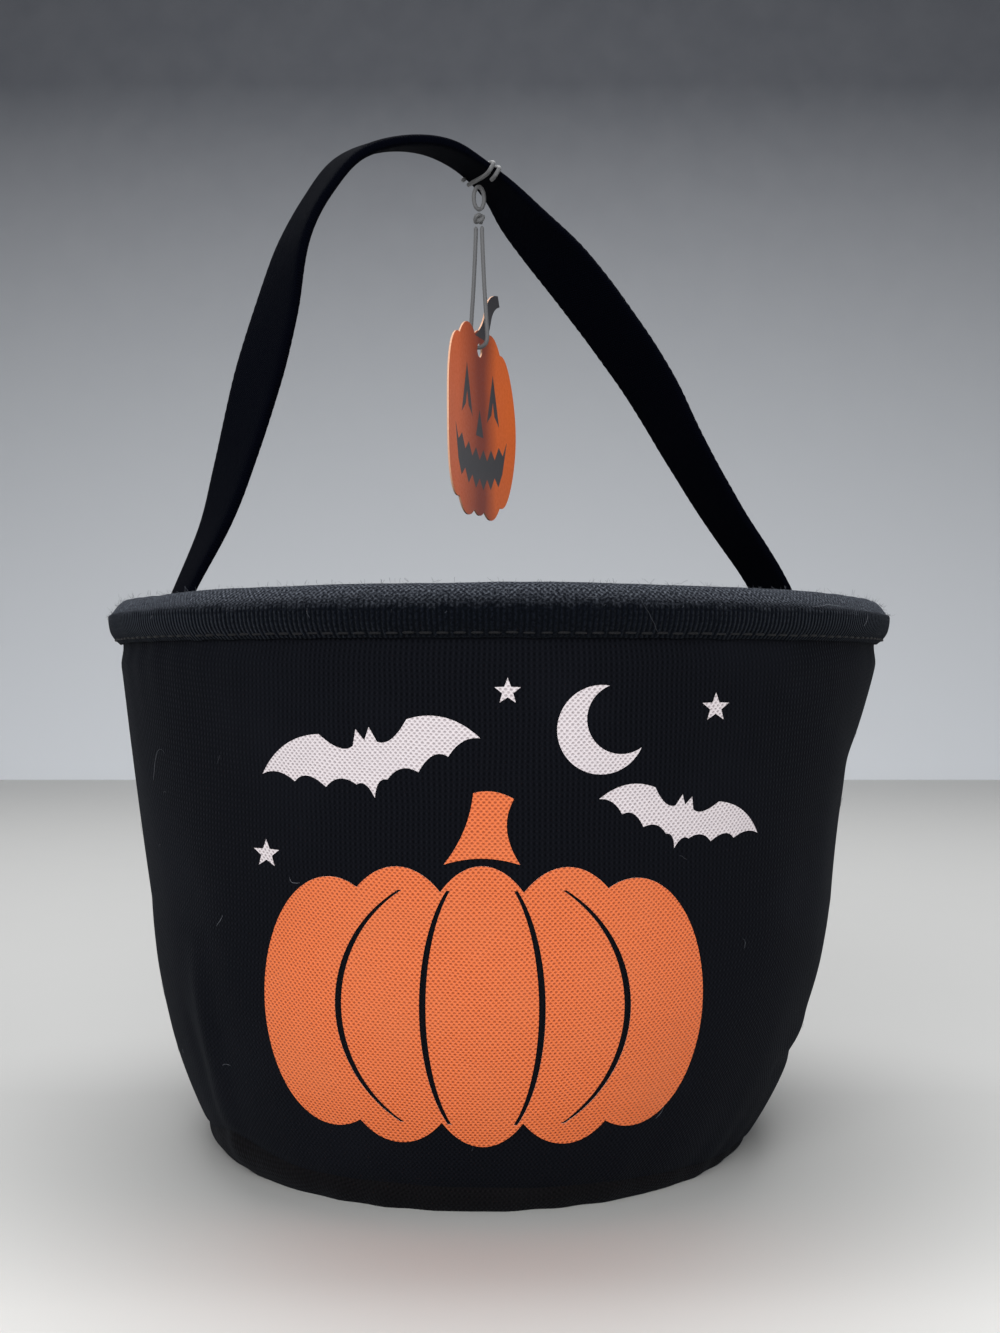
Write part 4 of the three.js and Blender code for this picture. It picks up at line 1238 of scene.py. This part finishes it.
def make_base():
    """The base cloth: flat below, its edge turned up into the seam with the wall."""
    def at(angle, part, up, share):
        if part == "flat":
            height = 0 * angle + up
            radius = base_band_outside(angle, 0) * share
        else:
            height = up * (seam_height(angle) + BAND_LAP)
            radius = base_band_outside(angle, up) - (CANVAS if part == "inner band" else 0)
        return turned(angle, radius, height, foot_slide(height))

    def cloth(angle, part, up, share):
        return turned(angle, 80 * share if part == "flat" else 80 + 8 * up)[..., :2]

    profile = [("flat", 0.0, share) for share in (0.004, 0.2, 0.4, 0.6, 0.8, 0.9, 0.96, 0.99)]
    profile += [("band", up, 1) for up in np.linspace(0.0, 1, 16) ** 1.3]
    profile += [("inner band", up, 1) for up in (1, 0.7, 0.5, 0.35)]
    profile += [("flat", CANVAS, share) for share in (0.96, 0.9, 0.7, 0.4, 0.2, 0.004)]
    ring_piece("canvas_base", "outer_base", "black_canvas", profile, at, cloth, BASE_CANVAS)


def make_board():
    """The stiff board that lies between the base cloth and its lining."""
    profile = [(0.004, 0.0), (0.5, 0.0), (0.995, 0.0), (1.0, 0.15)]
    profile += [(share, 1 - up) for share, up in profile[::-1]]

    def at(angle, share, up):
        return turned(angle, BOARD_RADIUS * share, BOARD_BOTTOM + BOARD_THICKNESS * up, BASE_MIDDLE)

    ring_piece("board_base", "base_board", "base_board", profile, at,
               lambda angle, share, up: turned(angle, BOARD_RADIUS * share)[..., :2], BOARD, sharp=40)


puff = Waves(77, 6, (2, 5), (60, 200))


def make_base_lining():
    """The cloth over the base board, a little slack, gathered at its edge."""
    def at(angle, share, top):
        radius = BASE_LINING_RADIUS * share
        slack = 0.5 + 0.35 * puff(angle, radius) * share + 0.25 * foot_gather(angle, radius) * share ** 6
        lift = top * (LINING * 0.5 + slack * (1 - share ** 8))
        return turned(angle, radius, BASE_LINING_BOTTOM + lift, BASE_MIDDLE)

    shares = [0.004, *np.linspace(0.06, 1, 36)]
    profile = [(share, 0) for share in shares] + [(share, 1) for share in shares[::-1]]
    ring_piece("cloth_base_lining", "base_lining", "lining_cloth", profile, at,
               lambda angle, share, top: turned(angle, BASE_LINING_RADIUS * share)[..., :2], LINING_CLOTH)


# The rim

HEM_CENTRE_HEIGHT = RIM_TOP - HEM_HEIGHT * 0.47


def rim_drop(angle, radius, height):
    """How far the hem's crown sags: most at the left and right, and there most on its outer shoulder."""
    side = np.cos(angle) ** 2
    shoulder = smoothstep(RIM_RADIUS - 4.5, RIM_RADIUS - 0.5, radius)
    high = smoothstep(HEM_CENTRE_HEIGHT, HEM_CENTRE_HEIGHT + 4, height)
    return (0.35 + side * (1.0 + 1.3 * shoulder)) * high


rim_lump = Waves(101, 7, (5, 17), (200, 600))
rim_ripple = Waves(102, 9, (24, 70), (200, 600))


def hem_outline(inset, count):
    """The folded hem's section from outside foot to inside foot, as (radius, height)."""
    wide = HEM_WIDTH / 2 - inset
    tall = RIM_TOP - 0.15 - inset - HEM_CENTRE_HEIGHT
    foot = WALL_TOP_RADIUS + 0.9 - inset * 0.5
    stops = [(foot, HEM_BOTTOM - 0.1), (foot + 1.6 - inset * 0.3, HEM_BOTTOM + 1.3),
             (foot + 2.8 - inset * 0.4, HEM_BOTTOM + 3.1)]
    for degrees in range(-8, 213, 20):
        angle = math.radians(degrees)
        stops.append((HEM_MIDDLE + wide * math.cos(angle), HEM_CENTRE_HEIGHT + tall * math.sin(angle)))
    stops.append((WALL_TOP_RADIUS - WALL_LAYERS - 0.3 - HEM_CLOTH + inset, HEM_BOTTOM))
    return Route(stops, fineness=16).spaced(count)


def make_rim():
    """The canvas rolled over the hoop and sewn down, lumpy where the cloth is eased round."""
    outer = hem_outline(0, 46)
    inner = hem_outline(HEM_CLOTH, 14)[::-1]
    length = Route(outer).length
    profile = [(*spot, share, 1.0) for spot, share in zip(outer, np.linspace(0, 1, len(outer)))]
    profile += [(*spot, share, 0.0) for spot, share in zip(inner, np.linspace(1, 0, len(inner)))]

    def at(angle, radius, height, share, outside):
        edge = np.sin(math.pi * share) ** 0.5 if 0 < share < 1 else 0.0
        lump = 0.14 * rim_lump(angle, share * 40) + 0.07 * rim_ripple(angle, share * 40)
        pull = 0.2 * hem_pucker(angle, height) * math.exp(-share / 0.12)
        grow = outside * (lump * edge + pull)
        out = radius - HEM_MIDDLE
        up = height - HEM_CENTRE_HEIGHT
        reach = math.hypot(out, up)
        radius = radius + grow * out / reach
        drop = rim_drop(angle, radius, height)
        return turned(angle, radius, height + np.minimum(grow * up / reach, RIM_TOP - 0.02 - height) - drop)

    def cloth(angle, radius, height, share, outside):
        around = away(angle, -math.pi / 2) * HEM_MIDDLE
        return np.stack([around, HEM_BOTTOM + share * length + 0 * angle], -1)

    ring_piece("canvas_rim", "rim_hem", "black_canvas", profile, at, cloth, RIM_CANVAS)


# Stitches

THREAD_DIAMETER = 0.6
STITCH_OUT = 0.12  # the thread's middle lies this far out from the cloth
TAB_BOX_MARGIN = 3.5
TAB_BOX_HEIGHT = 16


def stitches(name, node, route, out, length=3.1, gap=0.9):
    """A row of separate stitches along a route; each dips at its ends, where it goes into the cloth. out
    gives the direction out of the cloth."""
    count = round(route.length / (length + gap))
    pitch = route.length / count
    sides, rows = 7, 8
    around = np.linspace(0, TURN, sides, endpoint=False)
    share = np.linspace(0, 1, rows)
    dip = (2 * share - 1) ** 4 * THREAD_DIAMETER * 0.75
    radius = THREAD_DIAMETER / 2 * np.sqrt(np.clip(1 - (2 * share - 1) ** 6, 0.12, 1))
    chance = random.Random(len(name))
    tubes = []
    for i in range(count):
        line = route.at((i + 0.5) * pitch - length / 2 + share * length)
        line = line - unit(out(line)) * dip[:, None] + UP * chance.uniform(-0.08, 0.08)
        tubes.append(tube(line, carried_frames(line), radius[:, None], around))
    points, faces = bundle(tubes)
    _, corner_rows, corner_columns = grid_faces(rows, sides)
    uv = np.stack([corner_columns * math.pi * THREAD_DIAMETER / sides, corner_rows * length / rows], -1)
    uv = np.concatenate([uv.reshape(-1, 2), np.zeros((2 * sides, 2))])
    piece = make_piece(name, points, faces, [THREAD], np.tile(uv, (count, 1)))
    finish_piece(piece, "bucket", "black_thread", node)


def from_axis(line):
    """Out from the bucket's middle."""
    return line * (1, 1, 0)


def make_stitches():
    angles = np.linspace(0, TURN, 73)
    ring = turned(angles, HEM_STITCH_RADIUS, HEM_STITCH_HEIGHT)
    stitches("hem_stitch_row", "hem_stitching", Route(ring, fineness=10), from_axis)
    heights = np.linspace(seam_height(math.pi / 2) + 4, HEM_BOTTOM - 4, 12)
    angles = 0 * heights + math.pi / 2 - 0.03  # beside the lap's edge
    line = on_wall(angles, heights, back_lap(angles, heights) + STITCH_OUT)
    stitches("back_seam_stitch_row", "back_seam_stitching", Route(line), from_axis)


# The strap: one band of webbing from tab to tab

def tab_direction(side):
    return HANDLE_TURN if side > 0 else HANDLE_TURN - math.pi


def tab_radius(side, height):
    direction = np.array(tab_direction(side))
    in_lining = wall_radius(height) - dent(direction, height) - WALL_LAYERS - 1.2 - STRAP_THICKNESS / 2
    return min(float(in_lining), STRAP_FLOOR)


def make_strap():
    tab = [TAB_TOP - TAB_LENGTH * share for share in (1, 0.66, 0.33)]
    left = [-ACROSS * tab_radius(-1, z) + UP * z for z in tab]
    right = [ACROSS * tab_radius(1, z) + UP * z for z in tab[::-1]]
    route = Route(left + LOOP_STOPS + right)
    rows, columns = 330, 36
    run = np.linspace(0, route.length, rows)
    line = route.at(run)
    twist = twist_at(route, run, [0, 0, 0, *LOOP_TWISTS, 0, 0, 0])
    reach = 12  # each twist is a soft mean of those this many rows away
    kernel = np.hanning(2 * reach + 1)
    twist = np.convolve(np.pad(twist, reach, mode="edge"), kernel / kernel.sum(), mode="valid")
    width, face = strap_directions(route.along(run, 1.0), twist)
    angle = np.linspace(0, TURN, columns, endpoint=False)
    across = np.sign(np.cos(angle)) * np.abs(np.cos(angle)) ** 0.32
    out = np.sign(np.sin(angle)) * np.abs(np.sin(angle)) ** 0.55
    run = run[:, None]
    chance = random.Random(12)
    sway = 0
    for _ in range(5):
        size, length, start = chance.uniform(0.1, 0.3), chance.uniform(18, 60), chance.uniform(0, TURN)
        sway = sway + size * np.sin(run * TURN / length + start)
    ridge = 1 + 0.012 * np.sin(run * TURN / 0.84) * np.abs(across) ** 8
    half = STRAP_WIDTH / 2 * ridge + 0.25 * sway * np.abs(across) ** 4
    above = smoothstep(HINGE_HEIGHT - 14, HINGE_HEIGHT + 20, line[:, 2:])
    under_string = np.exp(-((run - WRAP_PLACE * route.length) / 11) ** 4)
    plump = 1 + STRAP_PLUMPNESS * above * (1 - under_string)
    thick = STRAP_THICKNESS / 2 * plump * (1 + 0.06 * np.abs(across) ** 6 + 0.03 * sway)
    offset = half * across
    cup = (1 - above) * offset ** 2 / (2 * STRAP_FLOOR)
    bow = above * 0.35 * (1 - (offset / (STRAP_WIDTH / 2)) ** 2) * np.sin(run / 31)
    lift = thick * out - cup + bow
    points = line[:, None] + offset[..., None] * width[:, None] + lift[..., None] * face[:, None]
    cloth = np.stack(np.broadcast_arrays(offset, run), -1)
    cloth = np.concatenate([cloth, cloth[:, :1]], axis=1)
    strap = grid_piece("strap_webbing", points, cloth, STRAP, ends=True, sharp=50)
    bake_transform(strap)
    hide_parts("handle_strap", "strap_tab_left", "strap_tab_right")


def make_tab_stitches():
    """A sewn box with a cross on each tab."""
    wide = STRAP_WIDTH / 2 - TAB_BOX_MARGIN
    low = TAB_TOP - TAB_LENGTH + TAB_BOX_MARGIN
    high = low + TAB_BOX_HEIGHT
    corners = [(-wide, low), (-wide, high), (wide, high), (wide, low),
               (-wide, low), (wide, high), (-wide, high), (wide, low)]
    for name, side in (("left", -1), ("right", 1)):
        points = []
        for start, end in zip(corners, corners[1:]):
            for t in np.linspace(0, 1, 12)[:-1]:
                across, height = np.array(start) * (1 - t) + np.array(end) * t
                radius = tab_radius(side, height) - STRAP_THICKNESS / 2 - STITCH_OUT
                points.append(turned(tab_direction(side) + across / radius, radius, height))
        stitches("tab_stitch_box_" + name, "tab_stitching_" + name, Route(points, fineness=6),
                 lambda line: -from_axis(line), length=2.4, gap=0.8)


# Hairs and lint that cling to the canvas

LINT_HAIRS = 88
NAP_HAIRS = 1500


def hairs_piece(name, hairs, material):
    """One object of thin hairs, each with its own line and radius, pointed at both ends."""
    around = np.linspace(0, TURN, 3, endpoint=False)
    tubes = []
    for line, radius in hairs:
        thin = radius * np.sin(np.linspace(0.3, math.pi - 0.3, len(line))) ** 0.5
        tubes.append(tube(line, carried_frames(line), thin[:, None], around))
    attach(make_piece(name, *bundle(tubes), [material]), "bucket")


def make_lint():
    chance = random.Random(2024)
    hairs = []
    outer = hem_outline(0, 60)

    def on_rim(angle, share):
        radius, height = outer[int(np.clip(share, 0, 1) * (len(outer) - 1))]
        lift = 0.35
        return turned(angle, radius + lift, height + lift * 0.6 - rim_drop(angle, radius, height))

    for i in range(LINT_HAIRS):
        on_hem = i % 3 != 0
        angle = chance.uniform(0, TURN)
        place = chance.uniform(0.2, 0.62) if on_hem else chance.uniform(15, HEM_BOTTOM - 4)
        heading = chance.uniform(0, TURN)
        bend = chance.uniform(-0.5, 0.5)
        stride = chance.uniform(0.8, 1.5) if chance.random() < 0.14 else chance.uniform(0.12, 0.45)
        line = []
        for _ in range(12):
            line.append(on_rim(angle, place) if on_hem else on_wall(np.array(angle), np.array(place), 0.25))
            angle += stride * math.cos(heading) / RIM_RADIUS
            place += stride * math.sin(heading) / (40 if on_hem else 1)
            if not on_hem:
                place = min(max(place, 9), HEM_BOTTOM - 1)
            heading += bend * 0.35 + chance.uniform(-0.25, 0.25)
        hairs.append((Route(line, fineness=3).spaced(14), chance.uniform(0.03, 0.05)))
    hairs_piece("lint", hairs, LINT)


def make_nap():
    """The short fluff that stands on the crown of the rim, coloured grey as painted light from above, like
    the crown's cloth.
    """
    chance = random.Random(7)
    outer = hem_outline(0, 121)
    hairs = []
    for _ in range(NAP_HAIRS):
        angle = chance.uniform(0, TURN)
        share = chance.gauss(0.47, 0.1)
        place = int(np.clip(share, 0.22, 0.68) * (len(outer) - 1))
        radius, height = outer[place]
        ahead, behind = outer[place + 1], outer[place - 1]
        slope = unit(np.array([behind[1] - ahead[1], ahead[0] - behind[0]]))  # into the cloth
        out = turned(angle, -slope[0], -slope[1])
        lean = unit(np.array([chance.gauss(0, 1) for _ in range(3)]))
        curl = unit(np.array([chance.gauss(0, 1) for _ in range(3)]))
        length = chance.uniform(0.5, 1.9)
        root = turned(angle, radius, height - rim_drop(angle, radius, height))
        t = np.linspace(0, 1, 5)[:, None]
        line = root + length * (t * (0.35 * out + 0.8 * lean) + 0.5 * t ** 2 * curl)
        line = line + out * (0.05 + np.maximum(0, -(line - root) @ out)[:, None])
        line[:, 2] = np.minimum(line[:, 2], RIM_TOP + 0.6)
        hairs.append((line, chance.uniform(0.022, 0.04)))
    hairs_piece("rim_nap", hairs, NAP)


# Floor, backdrop and light, in metres

def stage_paint(name, first, second, share):
    """A plain matt material between two colours; share says where, from the paint and the y and z there."""
    paint = Paint(name, roughness=0.85, Specular_IOR_Level=0.2)
    parts = paint.node("SeparateXYZ")
    paint.join(parts.inputs[0], paint.node("NewGeometry").outputs["Position"])
    colour = paint.mix(share(paint, parts.outputs["Y"], parts.outputs["Z"]), first, second)
    mottle = paint.stretch(paint.noise(26, 4), 0.3, 0.7, 0, 0.02)
    paint.colour(mottle, colour, (0.5, 0.5, 0.5))
    return paint.material


def lit_patch(paint, y, z):
    """The floor is paler just in front of the bucket."""
    return paint.times(paint.stretch(y, 0.02, -0.14), paint.stretch(y, -0.31, -0.15))


def upwards(paint, y, z):
    """The backdrop darkens softly upwards."""
    return paint.stretch(z, 0.02, 0.87)


def make_stage():
    side, behind, tall = 6, 1.43, 3
    floor_corners = [(-side, -side, 0), (side, -side, 0), (side, behind, 0), (-side, behind, 0)]
    backdrop_corners = [(-side, behind, 0), (side, behind, 0), (side, behind, tall), (-side, behind, tall)]
    floor = stage_paint("floor", (0.385, 0.385, 0.38), (0.58, 0.58, 0.567), lit_patch)
    backdrop = stage_paint("backdrop", (0.585, 0.605, 0.635), (0.068, 0.072, 0.083), upwards)
    for name, corners, paint in (("floor", floor_corners, floor), ("backdrop", backdrop_corners, backdrop)):
        mesh = bpy.data.meshes.new(name)
        mesh.from_pydata(corners, [], [(0, 1, 2, 3)])
        mesh.materials.append(paint)
        add_object(name, mesh)


def area_light(name, place, size, watts):
    """A light that points at the middle of the bucket."""
    data = bpy.data.lights.new(name, "AREA")
    data.shape = "RECTANGLE"
    data.size, data.size_y = size
    data.energy = watts
    light = add_object(name, data)
    light.location = place
    light.rotation_euler = (Vector((0, 0, 0.13)) - Vector(place)).to_track_quat("-Z", "Y").to_euler()


def make_light():
    world = bpy.data.worlds.new("world")
    world.use_nodes = True
    background = world.node_tree.nodes["Background"]
    background.inputs["Color"].default_value = (0.93, 0.96, 1.0, 1)
    background.inputs["Strength"].default_value = 0.3
    bpy.context.scene.world = world
    area_light("above", (0, 0.45, 1.5), (1.5, 1.0), 33)
    area_light("front", (-0.25, -1.5, 0.8), (1.5, 1.0), 27.5)
    area_light("right", (1.2, -0.3, 0.5), (0.5, 0.9), 1.5)


make_camera()
loop, loop_route = make_loop()
make_winding()
make_bight()
make_knot()
make_bead()
tag = make_tag()
(loop_route.spaced(90) * MM).tolist()
make_wall()
make_felt()
make_lining()
make_base()
make_board()
make_base_lining()
make_rim()
make_stitches()
make_strap()
make_tab_stitches()
make_print()
make_lint()
make_nap()
for node in ("rim_hoop", "hoop_joiner"):
    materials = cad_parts[node].data.materials
    materials.clear()
    materials.append(HOOP)
make_stage()
make_light()
bpy.context.scene.view_settings.view_transform = "Standard"
